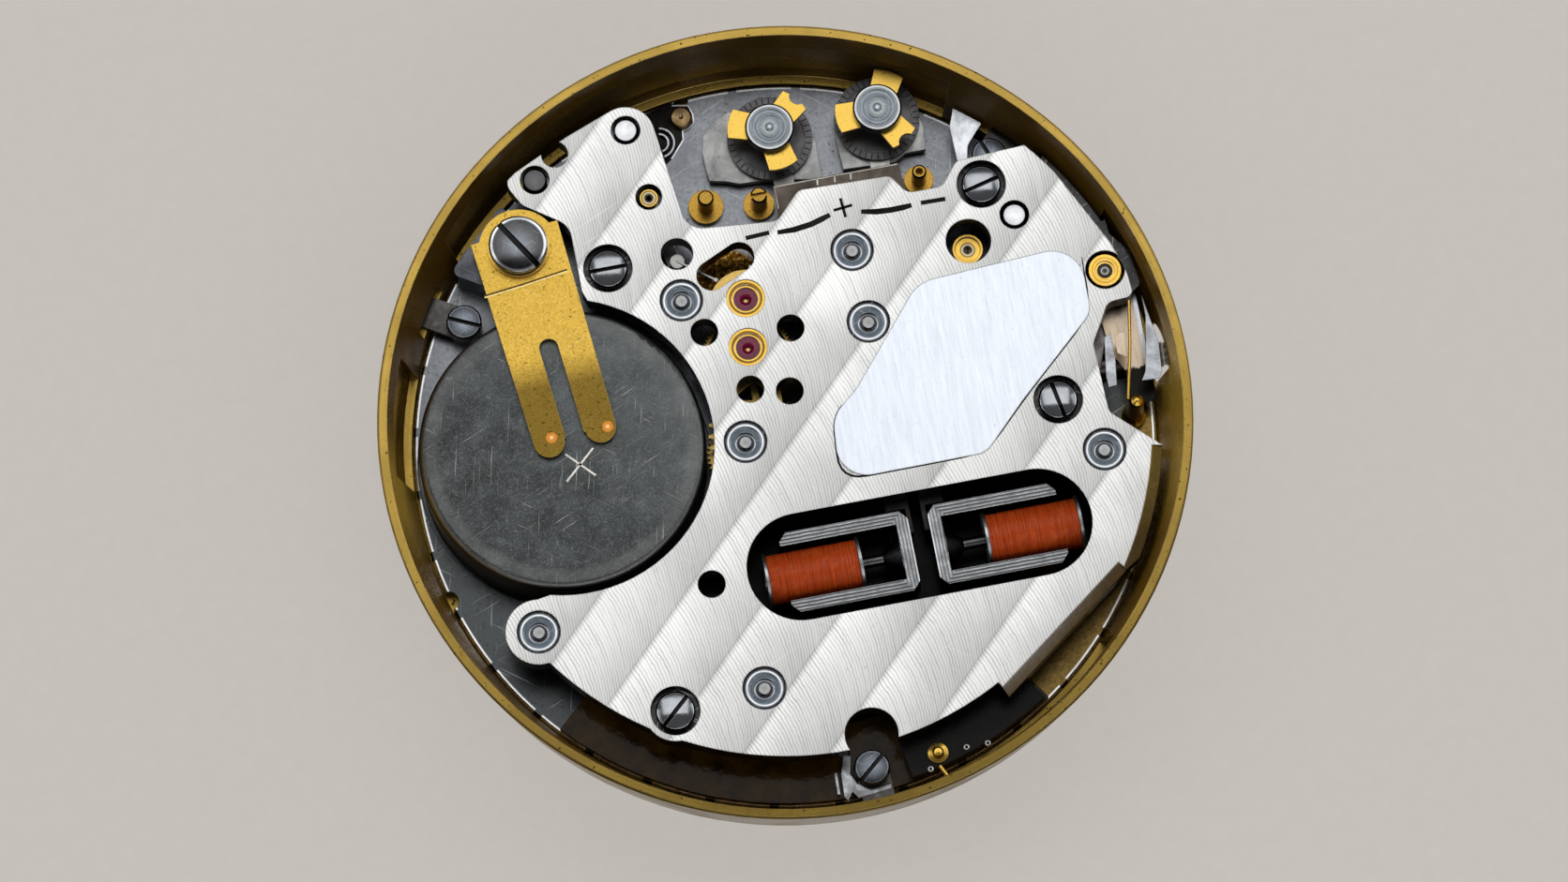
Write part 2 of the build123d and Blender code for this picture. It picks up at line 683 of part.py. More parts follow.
def edge_bevel(start, end):
    """Prism that bevels the bridge's upper edge along a straight run, its outside on the left."""
    length, degrees = between(start, end)
    low = BRIDGE_TOP_Z - BRIDGE_BEVEL_DROP
    profile = Polygon(
        (-BRIDGE_BEVEL, BRIDGE_TOP_Z), (0, low), (BRIDGE_BEVEL, low - BRIDGE_BEVEL_DROP),
        (BRIDGE_BEVEL, RING_H), (-BRIDGE_BEVEL, RING_H), align=None,
    )
    return Pos(*start, 0) * Rot(0, 0, degrees) * extrude(Plane.YZ * profile, amount=length)


def rim_bevel(radius):
    """Ring with a conical inside that bevels the bridge's upper edge beside the coil window."""
    low = BRIDGE_TOP_Z - BRIDGE_BEVEL_DROP
    body = sector(radius - 2 * BRIDGE_BEVEL, radius + OVERRUN, BRIDGE_BEVEL_DEGREES, low, RING_H)
    return body - Pos(0, 0, low) * Cone(radius, radius - BRIDGE_BEVEL, BRIDGE_BEVEL_DROP, align=BASE)


def train_bridge():
    """Bridge with its bevelled edge, pillars, coil window, screw sinks and bearing holes."""
    bridge = slab(bridge_outline(), BRIDGE_UNDER_Z, BRIDGE_TOP_Z)
    bridge = bridge - edge_bevel(at(BRIDGE_CORNER_SHARES[17]), at(BRIDGE_CORNER_SHARES[18]))
    bridge = bridge - rim_bevel(PLATE_R + PLATE_BEVEL)
    start, end = BRIDGE_FLANGE_DEGREES
    free = Polygon((0, 0), polar(2 * RING_R, start), polar(2 * RING_R, end), align=None)
    flange = rounded(scaled(BRIDGE_FLANGE_SHARES)) & (Circle(BRIDGE_FLANGE_R) + free)
    bridge = bridge + slab(flange, BRIDGE_UNDER_Z, BRIDGE_FLANGE_TOP_Z)
    bridge = bridge + slab(rounded(scaled(FIELD_CORNER_SHARES)), BRIDGE_TOP_Z, BRIDGE_TOP_Z + FIELD_PROUD)
    for share in BRIDGE_SCREW_SHARES:
        bridge = bridge + disc(PILLAR_R, PLATE_TOP_Z, BRIDGE_UNDER_Z, at(share))
    window = Pos(*at(WINDOW_SHARE)) * SlotOverall(WINDOW_L, WINDOW_W)
    bridge = bridge - slab(window, PLATE_TOP_Z, RING_H)
    for share in BRIDGE_SCREW_SHARES:
        bridge = bridge - disc(SCREW_RECESS_R, BRIDGE_TOP_Z - SCREW_RECESS_DEPTH, RING_H, at(share))
        bridge = bridge - disc(SCREW_SHANK_R, PLATE_UNDER_Z, RING_H, at(share))
    holes = [(share, EYELET_R) for share in EYELET_SHARES]
    holes += [(share, STEADY_PIN_R + STEADY_PIN_RELIEF) for share in STEADY_PIN_SHARES]
    holes += [(share, CHATON_R) for share in RUBY_SHARES]
    holes += [(share, BUSHING_R) for share in BUSHING_SHARES]
    holes += [(PIN_HOLE_SHARE, PIN_HOLE_R), (CORNER_HOLE_SHARE, CORNER_HOLE_R)]
    holes += [(CUP_HOLE_SHARE, CUP_HOLE_R), (SMALL_BUSH_SHARE, SMALL_BUSH_HOLE_R)]
    holes += [(ECCENTRIC_SHARE, ECCENTRIC_HOLE_R)]
    for share, radius in holes:
        bridge = bridge - disc(radius, PLATE_TOP_Z, RING_H, at(share))
    ends = [at(share) for share in KIDNEY_SHARES]
    return bridge - bar(ends[0], ends[1], 2 * KIDNEY_R, PLATE_TOP_Z, RING_H)


def bridge_screws():
    """Four cheese head screws that draw the bridge down on its pillars."""
    seat = BRIDGE_TOP_Z - SCREW_RECESS_DEPTH
    depth = seat - PLATE_TOP_Z + SCREW_DEPTH / 2
    return [
        slotted_screw(
            at(share), SCREW_HEAD_R, SCREW_HEAD_H, seat, SCREW_SHANK_R, depth, turn, SLOT_WIDTH, SLOT_DEPTH
        )
        for share, turn in zip(BRIDGE_SCREW_SHARES, BRIDGE_SCREW_DEGREES)
    ]


def steady_pins():
    """Three pins that place the bridge, each a head in a ring-shaped relief over a foot in the plate."""
    pins = []
    for share in STEADY_PIN_SHARES:
        pin = disc(STEADY_PIN_R, PLATE_TOP_Z, BRIDGE_TOP_Z - HEAD_BEVEL, at(share))
        pins.append(chamfer(pin.edges().group_by(Axis.Z)[-1], HEAD_BEVEL))
    return pins


def jewel_chatons():
    """Two gold settings with a dished rim round each ruby."""
    settings = []
    for share in RUBY_SHARES:
        top = BRIDGE_TOP_Z - RUBY_SINK / 2
        ring = tube(CHATON_R, RUBY_R, top - CHATON_H, top, at(share))
        sink = disc(RUBY_R + STEADY_PIN_RELIEF, top - RUBY_SINK, top + OVERRUN, at(share))
        settings.append(ring - sink)
    return settings


def ruby_jewels():
    """Two pierced rubies with an oil sink."""
    jewels = []
    for share in RUBY_SHARES:
        top = BRIDGE_TOP_Z - 2 * RUBY_SINK
        jewel = disc(RUBY_R, top - RUBY_H, top, at(share))
        jewel = jewel - disc(JEWEL_HOLE_R, 0, RING_H, at(share))
        sink = Pos(*at(share), top - RUBY_SINK) * Cone(JEWEL_HOLE_R, RUBY_R / 2, RUBY_SINK, align=BASE)
        jewels.append(jewel - sink)
    return jewels


def bushing(place):
    """Steel bushing with a stepped dish and the end of a pin in its middle."""
    top = BRIDGE_TOP_Z - BUSHING_SINK
    body = disc(BUSHING_R, top - BUSHING_H, top, place)
    body = body - disc(BUSHING_STEP_R, top - BUSHING_SINK, RING_H, place)
    body = body - disc(BUSHING_CUP_R, top - 3 * BUSHING_SINK, RING_H, place)
    return body + disc(BUSHING_PIN_R, top - 4 * BUSHING_SINK, top - BUSHING_SINK / 2, place)


def bridge_bushings():
    """Seven steel bushings, two of them over the fork's posts."""
    return [bushing(at(share)) for share in BUSHING_SHARES]


def eccentric_bush():
    """Gold bush over the setting lever's pivot and a small one over the holding pawl's post."""
    top = BRIDGE_TOP_Z - BUSHING_SINK
    low = LEVER_Z + LEVER_T + LOOSE
    bush = tube(ECCENTRIC_R, ECCENTRIC_BORE_R, low, top, ECCENTRIC_PLACE)
    bush = bush - disc(ECCENTRIC_BORE_R + STEADY_PIN_RELIEF, top - BUSHING_SINK, RING_H, ECCENTRIC_PLACE)
    small = disc(SMALL_BUSH_R, FORK_Z + FORK_T, BRIDGE_TOP_Z - 2 * BUSHING_SINK, at(SMALL_BUSH_SHARE))
    small = small - disc(JEWEL_HOLE_R, BRIDGE_UNDER_Z, RING_H, at(SMALL_BUSH_SHARE))
    place = at(CUP_HOLE_SHARE)
    cup = disc(CUP_BUSH_R, PLATE_TOP_Z, CUP_BUSH_TOP_Z, place)
    cup = cup - disc(CUP_BUSH_R - STEADY_PIN_RELIEF, CUP_BUSH_TOP_Z - 2 * HEAD_BEVEL, RING_H, place)
    cup = cup - disc(JEWEL_HOLE_R, BRIDGE_UNDER_Z - SCREW_HEAD_H, RING_H, place)
    return [bush, small, cup]


def button_cell():
    """Button cell: can with a rolled edge, sloped shoulder below and the smaller cap underneath."""
    top = CELL_Z + CELL_H
    can = disc(CELL_R, CELL_Z + CELL_CAP_STEP, top, CELL_PLACE)
    can = fillet(can.edges().group_by(Axis.Z)[-1], CELL_ROLL)
    cap = disc(CELL_CAP_R, CELL_Z, CELL_Z + CELL_CAP_STEP, CELL_PLACE)
    return can + cap


def cell_insulator():
    """Plastic disc on the pocket's floor, open in the middle for the contact spring."""
    low = CELL_Z - INSULATOR_T
    ring = disc(CELL_CAP_R, low, CELL_Z, CELL_PLACE)
    return ring - Pos(*CELL_PLACE, 0) * Box(CONTACT_L, CONTACT_W + LOOSE, RING_H, align=BASE)


def cell_contact_spring():
    """Negative contact: thin strip in the insulator's opening."""
    low = CELL_Z - INSULATOR_T
    return Pos(*CELL_PLACE, low) * Box(CONTACT_L - LOOSE, CONTACT_W, CONTACT_T, align=BASE)


def strap_face():
    """Plan of the strap along +X from its screw: round base, tapered body and two slotted fingers."""
    half = STRAP_W / 2
    end_half = half - STRAP_TAPER
    tip = STRAP_REACH + STRAP_FINGER_W / 2
    body = Polygon(
        (-STRAP_HINGE_BACK / 2, -half), (tip, -end_half), (tip, end_half), (-STRAP_HINGE_BACK / 2, half),
        align=None,
    )
    face = body + Circle(STRAP_END_R)
    middle = end_half - STRAP_FINGER_W / 2
    slot_l = tip - STRAP_SLOT_START
    slot = Pos(STRAP_SLOT_START, 0) * Circle(STRAP_SLOT_W / 2)
    slot = slot + Pos(STRAP_SLOT_START + slot_l / 2, 0) * Rectangle(slot_l, STRAP_SLOT_W)
    face = face - slot
    trim = Pos(STRAP_REACH + STRAP_REACH / 2, 0) * Rectangle(STRAP_REACH, 2 * STRAP_W)
    face = face - trim
    for side in (-middle, middle):
        face = face + Pos(STRAP_REACH, side) * Circle(STRAP_FINGER_W / 2)
    return face - Circle(STRAP_SCREW_SHANK_R + RUNNING)


def battery_strap():
    """Forked strap: flat base under the screw, arm sloping down to two dimpled fingers on the cell."""
    bend = STRAP_HINGE_BACK
    tip = STRAP_REACH + STRAP_FINGER_W
    fall = STRAP_DROP * (tip - bend) / (STRAP_REACH - bend)
    profile = Polygon(
        (-STRAP_W, 0), (bend, 0), (tip, -fall), (tip, STRAP_T - fall), (bend, STRAP_T), (-STRAP_W, STRAP_T),
        align=None,
    )
    sheet = extrude(Plane.XZ * profile, amount=STRAP_W, both=True)
    strap = sheet & slab(strap_face(), -STRAP_W, STRAP_W)
    end_half = STRAP_W / 2 - STRAP_TAPER
    middle = end_half - STRAP_FINGER_W / 2
    gap = STRAP_BASE_Z - STRAP_DROP - (CELL_Z + CELL_H)
    for side in (-middle, middle):
        strap = strap + disc(DIMPLE_R, -STRAP_DROP - gap, STRAP_T / 2 - STRAP_DROP, (STRAP_REACH, side))
    return Pos(*STRAP_PLACE, STRAP_BASE_Z) * Rot(0, 0, STRAP_DEGREES) * strap


def strap_screw():
    """Large screw of the strap."""
    seat = STRAP_BASE_Z + STRAP_T + STRAP_WASHER_H
    depth = seat - BLOCK_TOP_Z + SCREW_DEPTH
    return slotted_screw(
        STRAP_PLACE, STRAP_SCREW_HEAD_R, STRAP_SCREW_HEAD_H, seat, STRAP_SCREW_SHANK_R, depth,
        STRAP_SCREW_DEGREES, STRAP_SLOT_WIDTH, SLOT_DEPTH,
    )


def strap_washer():
    """Brass collar between the strap and the screw's head."""
    low = STRAP_BASE_Z + STRAP_T
    return tube(STRAP_WASHER_R, STRAP_SCREW_SHANK_R, low, low + STRAP_WASHER_H, STRAP_PLACE)


def strap_block():
    """Block that carries the strap, with a raised seat under it and the threaded hole."""
    block = slab(rounded(scaled(BLOCK_SHARES)), PLATE_TOP_Z, BLOCK_TOP_Z)
    block = block - disc(CELL_R + BRIDGE_CELL_GAP, 0, RING_H, CELL_PLACE)
    block = block + disc(STRAP_END_R - STEADY_PIN_RELIEF, PLATE_TOP_Z, STRAP_BASE_Z, STRAP_PLACE)
    return block - disc(STRAP_SCREW_SHANK_R, PLATE_TOP_Z + OVERRUN, RING_H, STRAP_PLACE)


def casing_clamps():
    """Three steel tabs from a boss on the plate out over the ring's lands."""
    clamps = []
    for share in CLAMP_SHARES:
        place = at(share)
        _, degrees = between((0, 0), share)
        tab = bar(place, polar(CLAMP_REACH, degrees), CLAMP_W, LAND_Z, LAND_Z + CLAMP_T, square=True)
        tab = tab + disc(CLAMP_W / 2, PLATE_TOP_Z, LAND_Z + CLAMP_T, place)
        clamps.append(tab - disc(SCREW_SHANK_R, PLATE_UNDER_Z, RING_H, place))
    return clamps


def casing_screws():
    """The three screws of the casing clamps."""
    seat = LAND_Z + CLAMP_T
    return [
        slotted_screw(
            at(share), CLAMP_HEAD_R, SCREW_HEAD_H, seat, SCREW_SHANK_R, seat - PLATE_TOP_Z, turn,
            SLOT_WIDTH, SLOT_DEPTH,
        )
        for share, turn in zip(CLAMP_SHARES, CLAMP_SCREW_DEGREES)
    ]


def cup_profile(side):
    """Envelope of a magnet cup: a cylinder on the coil's axis cut flat above and below."""
    start = CUP_MIDDLE + side * CUP_GAP / 2
    lie = Pos(start, COIL_Y, COIL_Z) * Rot(0, 90 * side, 0)
    middle = start + side * CUP_L / 2
    flat = Pos(middle, COIL_Y, COIL_Z) * Box(CUP_L + OVERRUN, 2 * CUP_OUTER_R, 2 * CUP_HALF_H)
    return lie, flat


def magnet_cup(side):
    """Slotted cup of one magnet: end wall and two side walls whose tips are tapered."""
    lie, flat = cup_profile(side)
    bowl = Cylinder(CUP_OUTER_R, CUP_L, align=BASE)
    bowl = chamfer(bowl.edges().group_by(Axis.Z)[0], CUP_TIP)
    bowl = bowl - Pos(0, 0, CUP_END_T) * Cylinder(CUP_INNER_R, CUP_L, align=BASE)
    bowl = chamfer(bowl.edges().group_by(Axis.Z)[-1].sort_by(SortBy.RADIUS)[-1], CUP_TIP, CUP_TIP)
    return (lie * bowl) & flat


def magnet_cone(side):
    """Conical magnet foot on the cup's floor and the thin magnet rod that runs into the coil."""
    lie, _ = cup_profile(side)
    foot = Pos(0, 0, CUP_END_T) * Cone(CONE_R, CONE_TIP_R, CONE_L, align=BASE)
    foot = foot & Box(2 * CONE_R, 2 * CONE_R, 4 * CONE_R)
    rod = Pos(0, 0, CUP_END_T + CONE_L / 2) * Cylinder(CONE_TIP_R, COIL_START, align=BASE)
    pole = Pos(0, 0, CUP_END_T + COIL_START) * Cylinder(MAGNET_R, MAGNET_L, align=BASE)
    return lie * (foot + rod + pole)


def coil_former(side):
    """Former of one coil: bored core, two end flanges and a foot on the plate at the outer end."""
    lie, _ = cup_profile(side)
    length = COIL_L + 2 * FLANGE_T
    body = Pos(0, 0, COIL_START) * Cylinder(FORMER_R, length, align=BASE)
    for start in (COIL_START, COIL_START + FLANGE_T + COIL_L):
        body = body + Pos(0, 0, start) * Cylinder(FLANGE_R, FLANGE_T, align=BASE)
    body = lie * (body - Cylinder(FORMER_BORE_R, CUP_L + COIL_L, align=BASE))
    outer = CUP_MIDDLE + side * (CUP_GAP / 2 + COIL_START + FLANGE_T + COIL_L + FLANGE_T / 2)
    height = COIL_Z - PLATE_TOP_Z - FORMER_R
    foot = Pos(outer, COIL_Y, PLATE_TOP_Z) * Box(FLANGE_T, FORMER_FOOT_W, height, align=BASE)
    return body + foot


def coil_winding(side):
    """One barrel of hair-thin copper wire between the former's flanges."""
    lie, _ = cup_profile(side)
    start = COIL_START + FLANGE_T
    wound = Cylinder(COIL_R, COIL_L, align=BASE) - Cylinder(FORMER_R, COIL_L, align=BASE)
    return lie * Pos(0, 0, start) * wound


def arm_points(side):
    """Centre line of a vibrating arm: the right one mirrors the left, pulled in at the cups."""
    points = [at(share) for share in ARM_SHARES]
    if side < 0:
        return points
    mirror = 2 * ARM_MIRROR_SHARE * MOVEMENT_R
    shift = ARM_RIGHT_SHIFT_SHARE * MOVEMENT_R
    points = [(mirror - x, y) for x, y in points]
    return points[:-2] + [(x + 2 * shift, y) for x, y in points[-2:]]


def blade_x(side):
    """Middle of a spring blade, beside its arm."""
    x, _ = arm_points(side)[2]
    return x - side * (ARM_W / 2 + BLADE_GAP + BLADE_T / 2)


def fork_arm(side):
    """Vibrating arm from the regulator's seat to the heel on its cup, held by the blade's end."""
    top = FORK_Z + FORK_T
    points = arm_points(side)
    arm = None
    for start, end in zip(points, points[1:]):
        piece = bar(start, end, ARM_W, FORK_Z, top)
        arm = piece if arm is None else arm + piece
    seat = REGULATOR_SHARES[0 if side < 0 else 1]
    arm = arm + disc(REGULATOR_DIAL_R - REGULATOR_RIM_W, FORK_Z, top, at(seat))
    arm = arm - disc(REGULATOR_SHAFT_R, 0, RING_H, at(seat))
    grip_y = BLADE_END_SHARE * MOVEMENT_R
    grip_end = (blade_x(side) - side * BLADE_T / 2, grip_y + ARM_W / 2)
    arm = arm + bar(
        (points[2][0], grip_y + ARM_W / 2), grip_end, ARM_W, FORK_Z, top, square=True
    )
    heel_x, heel_y = points[-1]
    heel = Pos(heel_x, heel_y - ARM_W / 2) * Rectangle(ARM_HEEL_W, 2 * ARM_W)
    arm = arm + slab(heel, FORK_Z, ARM_HEEL_TOP_Z)
    lie, flat = cup_profile(side)
    envelope = (lie * Cylinder(CUP_OUTER_R, CUP_L, align=BASE)) & flat
    return arm - envelope


def fork_base():
    """Fork foot between the arms: a bar on two posts and two spring blades that run up to the arms."""
    posts = [at(share) for share in BUSHING_SHARES[2:4]]
    middle = ARM_MIRROR_SHARE * MOVEMENT_R
    start_y = BLADE_START_SHARE * MOVEMENT_R
    end_y = BLADE_END_SHARE * MOVEMENT_R
    foot = bar(posts[0], posts[1], FORK_FOOT_W, FORK_Z, FORK_FOOT_TOP_Z)
    left = blade_x(-1)
    right = blade_x(1)
    top = FORK_Z + FORK_T
    low_bar = Pos((left + right) / 2, start_y) * Rectangle(right - left + BLADE_T, FOOT_BAR_L)
    neck = Pos(middle, start_y + FOOT_BAR_L) * Rectangle(FORK_FOOT_W, 2 * FOOT_BAR_L)
    base = foot + slab(low_bar, FORK_Z, top) + slab(neck, FORK_Z, top)
    length = end_y - start_y
    for x in (left, right):
        base = base + slab(Pos(x, start_y + length / 2) * Rectangle(BLADE_T, length), FORK_Z, top)
    post_top = BRIDGE_TOP_Z - BUSHING_SINK - BUSHING_H
    for place in posts:
        base = base + disc(FORK_POST_R, PLATE_UNDER_Z + OVERRUN, post_top, place)
    return base


def regulator_dial(index):
    """Graduated disc on the end of a vibrating arm, with a raised rim and a neck for the shaft."""
    place = at(REGULATOR_SHARES[index])
    low = FORK_Z + FORK_T
    top = low + REGULATOR_DIAL_T
    inner = REGULATOR_DIAL_R - REGULATOR_RIM_W
    dial = disc(REGULATOR_DIAL_R, low, top, place)
    dial = dial + tube(REGULATOR_DIAL_R, inner, low, top + REGULATOR_RIM_H, place)
    dial = dial + disc(REGULATOR_SHAFT_R + REGULATOR_NECK_W, low, STAR_Z - RUNNING, place)
    return dial - disc(REGULATOR_SHAFT_R - RUNNING, 0, RING_H, place)


def regulator_star(index):
    """Three-armed weight: two flared arms and one with a round notch in its end."""
    arm = Polygon(
        (0, -STAR_ARM_W / 2), (STAR_REACH, -STAR_ARM_W / 2 - STAR_ARM_FLARE),
        (STAR_REACH, STAR_ARM_W / 2 + STAR_ARM_FLARE), (0, STAR_ARM_W / 2), align=None,
    )
    notched = arm - Pos(STAR_REACH + STAR_ARM_FLARE, 0) * Circle(STAR_NOTCH_R)
    face = Circle(STAR_HUB_R) + arm + Rot(0, 0, 120) * arm + Rot(0, 0, 240) * notched
    face = face & Circle(STAR_REACH)
    face = face - Circle(REGULATOR_SHAFT_R - 2 * RUNNING)
    place = at(REGULATOR_SHARES[index])
    turn = STAR_DEGREES[index]
    return slab(Pos(*place) * Rot(0, 0, turn) * face, STAR_Z, STAR_Z + STAR_T)


def regulator_cap(index):
    """Turned cap with concentric grooves over the star, and its shaft down through the arm."""
    place = at(REGULATOR_SHARES[index])
    low = STAR_Z + STAR_T
    top = low + CAP_H
    cap = disc(CAP_R, low, top, place)
    cap = chamfer(cap.edges().group_by(Axis.Z)[-1], HEAD_BEVEL)
    for radius in (CAP_R - 4 * CAP_GROOVE, CAP_R / 2):
        cap = cap - tube(radius, radius - CAP_GROOVE, top - CAP_GROOVE, RING_H, place)
    return cap + disc(CAP_PIN_R, top - CAP_GROOVE, top + CAP_GROOVE, place)


def regulator_shaft(index):
    """Shaft of the star, turning in the dial's neck and the arm."""
    place = at(REGULATOR_SHARES[index])
    return disc(REGULATOR_SHAFT_R - 2 * RUNNING, FORK_Z, STAR_Z + STAR_T, place)


def index_plate():
    """Dark plate under the bridge's edge, which carries the fine ticks."""
    top = BRIDGE_UNDER_Z
    face = Polygon(*[at(share) for share in INDEX_PLATE_SHARES], align=None)
    return slab(face, top - INDEX_PLATE_T, top)


def arbor(place, low, high):
    """Arbor with thinner pivots at both ends."""
    body = disc(ARBOR_R, low + 2 * PIVOT_R, high - 2 * PIVOT_R, place)
    return body + disc(PIVOT_R, low, high, place)


def train_module(a, b, teeth_a, teeth_b):
    """Module that two wheels share at the distance of their arbors."""
    return 2 * between(a, b)[0] / (teeth_a + teeth_b)


def index_wheel():
    """Ratchet wheel whose teeth are too fine to cut here, on its arbor with the first pinion."""
    _, toward = between(INDEX_PLACE, INTERMEDIATE_PLACE)
    module = train_module(INDEX_PLACE, INTERMEDIATE_PLACE, INDEX_PINION_TEETH, INTERMEDIATE_TEETH)
    face = Circle(INDEX_WHEEL_R) - Circle(INDEX_WHEEL_R - SPOKE_W)
    for i in range(SPOKES // 2):
        face = face + Rot(0, 0, i * 360 / SPOKES) * Rectangle(2 * INDEX_WHEEL_R - SPOKE_W, SPOKE_W)
    wheel = slab(Pos(*INDEX_PLACE) * (face + Circle(SPOKE_W)), INDEX_Z, INDEX_Z + WHEEL_T)
    leaves = toothed(INDEX_PINION_TEETH, module, mesh_phase(INDEX_PINION_TEETH, toward, True))
    low = INTERMEDIATE_Z - PINION_LAP
    top = INTERMEDIATE_Z + WHEEL_T + PINION_LAP
    wheel = wheel + slab(Pos(*INDEX_PLACE) * leaves, low, top)
    return wheel + arbor(INDEX_PLACE, PLATE_TOP_Z - PIVOT_GAP, BRIDGE_TOP_Z - 4 * RUBY_SINK)


def intermediate_wheel():
    """Second wheel of the train, driven by the index pinion, with the pinion that drives the seconds."""
    _, back = between(INTERMEDIATE_PLACE, INDEX_PLACE)
    module = train_module(INDEX_PLACE, INTERMEDIATE_PLACE, INDEX_PINION_TEETH, INTERMEDIATE_TEETH)
    wheel = spoked_wheel(INTERMEDIATE_TEETH, module, mesh_phase(INTERMEDIATE_TEETH, back, False), 0)
    body = slab(Pos(*INTERMEDIATE_PLACE) * wheel, INTERMEDIATE_Z, INTERMEDIATE_Z + WHEEL_T)
    _, toward = between(INTERMEDIATE_PLACE, (0, 0))
    fine = train_module(INTERMEDIATE_PLACE, (0, 0), INTERMEDIATE_PINION_TEETH, SECONDS_TEETH)
    phase = mesh_phase(INTERMEDIATE_PINION_TEETH, toward, True)
    leaves = Pos(*INTERMEDIATE_PLACE) * toothed(INTERMEDIATE_PINION_TEETH, fine, phase)
    body = body + slab(leaves, SECONDS_Z - PINION_LAP, SECONDS_Z + WHEEL_T + PINION_LAP)
    return body + arbor(INTERMEDIATE_PLACE, PLATE_TOP_Z - PIVOT_GAP, BRIDGE_TOP_Z - 4 * RUBY_SINK)


def seconds_wheel():
    """Centre seconds wheel and pinion on the long arbor that carries the seconds hand."""
    _, back = between((0, 0), INTERMEDIATE_PLACE)
    fine = train_module(INTERMEDIATE_PLACE, (0, 0), INTERMEDIATE_PINION_TEETH, SECONDS_TEETH)
    wheel = spoked_wheel(SECONDS_TEETH, fine, mesh_phase(SECONDS_TEETH, back, False), 0)
    body = slab(wheel, SECONDS_Z, SECONDS_Z + WHEEL_T)
    _, toward = between((0, 0), THIRD_PLACE)
    module = train_module((0, 0), THIRD_PLACE, SECONDS_PINION_TEETH, THIRD_TEETH)
    leaves = toothed(SECONDS_PINION_TEETH, module, mesh_phase(SECONDS_PINION_TEETH, toward, True))
    body = body + slab(leaves, THIRD_Z - PINION_LAP, THIRD_Z + WHEEL_T + PINION_LAP)
    waist_z = SECONDS_ARBOR_BOTTOM_Z + SECONDS_SEAT_L
    body = body + disc(SECONDS_ARBOR_R, SECONDS_ARBOR_BOTTOM_Z, waist_z)
    body = body + frustum(SECONDS_ARBOR_R, SECONDS_WAIST_R, waist_z, CENTRE_Z)
    return body + disc(SECONDS_WAIST_R, CENTRE_Z, BRIDGE_UNDER_Z - LOOSE)


def third_wheel():
    """Third wheel, driven by the seconds pinion, with the pinion that drives the centre wheel."""
    _, back = between(THIRD_PLACE, (0, 0))
    module = train_module((0, 0), THIRD_PLACE, SECONDS_PINION_TEETH, THIRD_TEETH)
    wheel = spoked_wheel(THIRD_TEETH, module, mesh_phase(THIRD_TEETH, back, False), 0)
    body = slab(Pos(*THIRD_PLACE) * wheel, THIRD_Z, THIRD_Z + WHEEL_T)
    coarse = train_module((0, 0), THIRD_PLACE, THIRD_PINION_TEETH, CENTRE_TEETH)
    phase = mesh_phase(THIRD_PINION_TEETH, back, True)
    leaves = Pos(*THIRD_PLACE) * toothed(THIRD_PINION_TEETH, coarse, phase)
    body = body + slab(leaves, CENTRE_Z - PINION_LAP / 2, CENTRE_Z + WHEEL_T + PINION_LAP)
    top = BRIDGE_TOP_Z - BUSHING_SINK - BUSHING_H
    return body + arbor(THIRD_PLACE, PLATE_TOP_Z - PIVOT_GAP, top - PIVOT_GAP)


def centre_wheel():
    """Minute wheel of the train on the tube that carries the cannon pinion."""
    _, toward = between((0, 0), THIRD_PLACE)
    module = train_module((0, 0), THIRD_PLACE, THIRD_PINION_TEETH, CENTRE_TEETH)
    face = toothed(CENTRE_TEETH, module, mesh_phase(CENTRE_TEETH, toward, False))
    body = slab(face, CENTRE_Z, CENTRE_Z + WHEEL_T)
    body = body + disc(CENTRE_TUBE_R, CANNON_BOTTOM_Z + WHEEL_T, CENTRE_Z + WHEEL_T)
    return body - disc(CENTRE_TUBE_BORE_R, 0, RING_H)


def pawl_tip(degrees, low):
    """Place of a pawl's tip beside the index wheel, and the square jewel on it."""
    x, y = polar(INDEX_WHEEL_R + PAWL_GAP + PAWL_JEWEL / 2, degrees)
    tip = (INDEX_PLACE[0] + x, INDEX_PLACE[1] + y)
    jewel = Pos(*tip) * Rot(0, 0, degrees) * Rectangle(PAWL_JEWEL, PAWL_JEWEL)
    return tip, slab(jewel, low, low + PAWL_H)


def drive_pawl():
    """Driving finger on the left arm with its jewel at the index wheel's edge."""
    low = INDEX_Z + WHEEL_T / 2 - PAWL_H / 2
    tip, jewel = pawl_tip(DRIVE_PAWL_DEGREES, low)
    start_x, _ = arm_points(-1)[2]
    root = (start_x, DRIVE_PAWL_START_SHARE * MOVEMENT_R)
    finger = bar(root, tip, PAWL_T, low, low + PAWL_H)
    foot = disc(ARM_W / 4, FORK_Z + FORK_T, low + PAWL_H, root)
    return finger + jewel + foot


def hold_pawl():
    """Holding finger on its adjustable post, with its jewel at the index wheel's edge."""
    low = INDEX_Z + WHEEL_T / 2 - PAWL_H / 2
    tip, jewel = pawl_tip(HOLD_PAWL_DEGREES, low)
    root = at(SMALL_BUSH_SHARE)
    pin = at(PIN_HOLE_SHARE)
    finger = bar(pin, tip, PAWL_T, low, low + PAWL_H)
    lever = bar(root, pin, 2 * HOLD_POST_R, FORK_Z, FORK_Z + FORK_T)
    stand = disc(HOLD_POST_R, FORK_Z, BRIDGE_UNDER_Z - LOOSE, pin)
    foot = disc(HOLD_POST_R, PLATE_TOP_Z, FORK_Z + FORK_T, root)
    return finger + lever + stand + foot + jewel


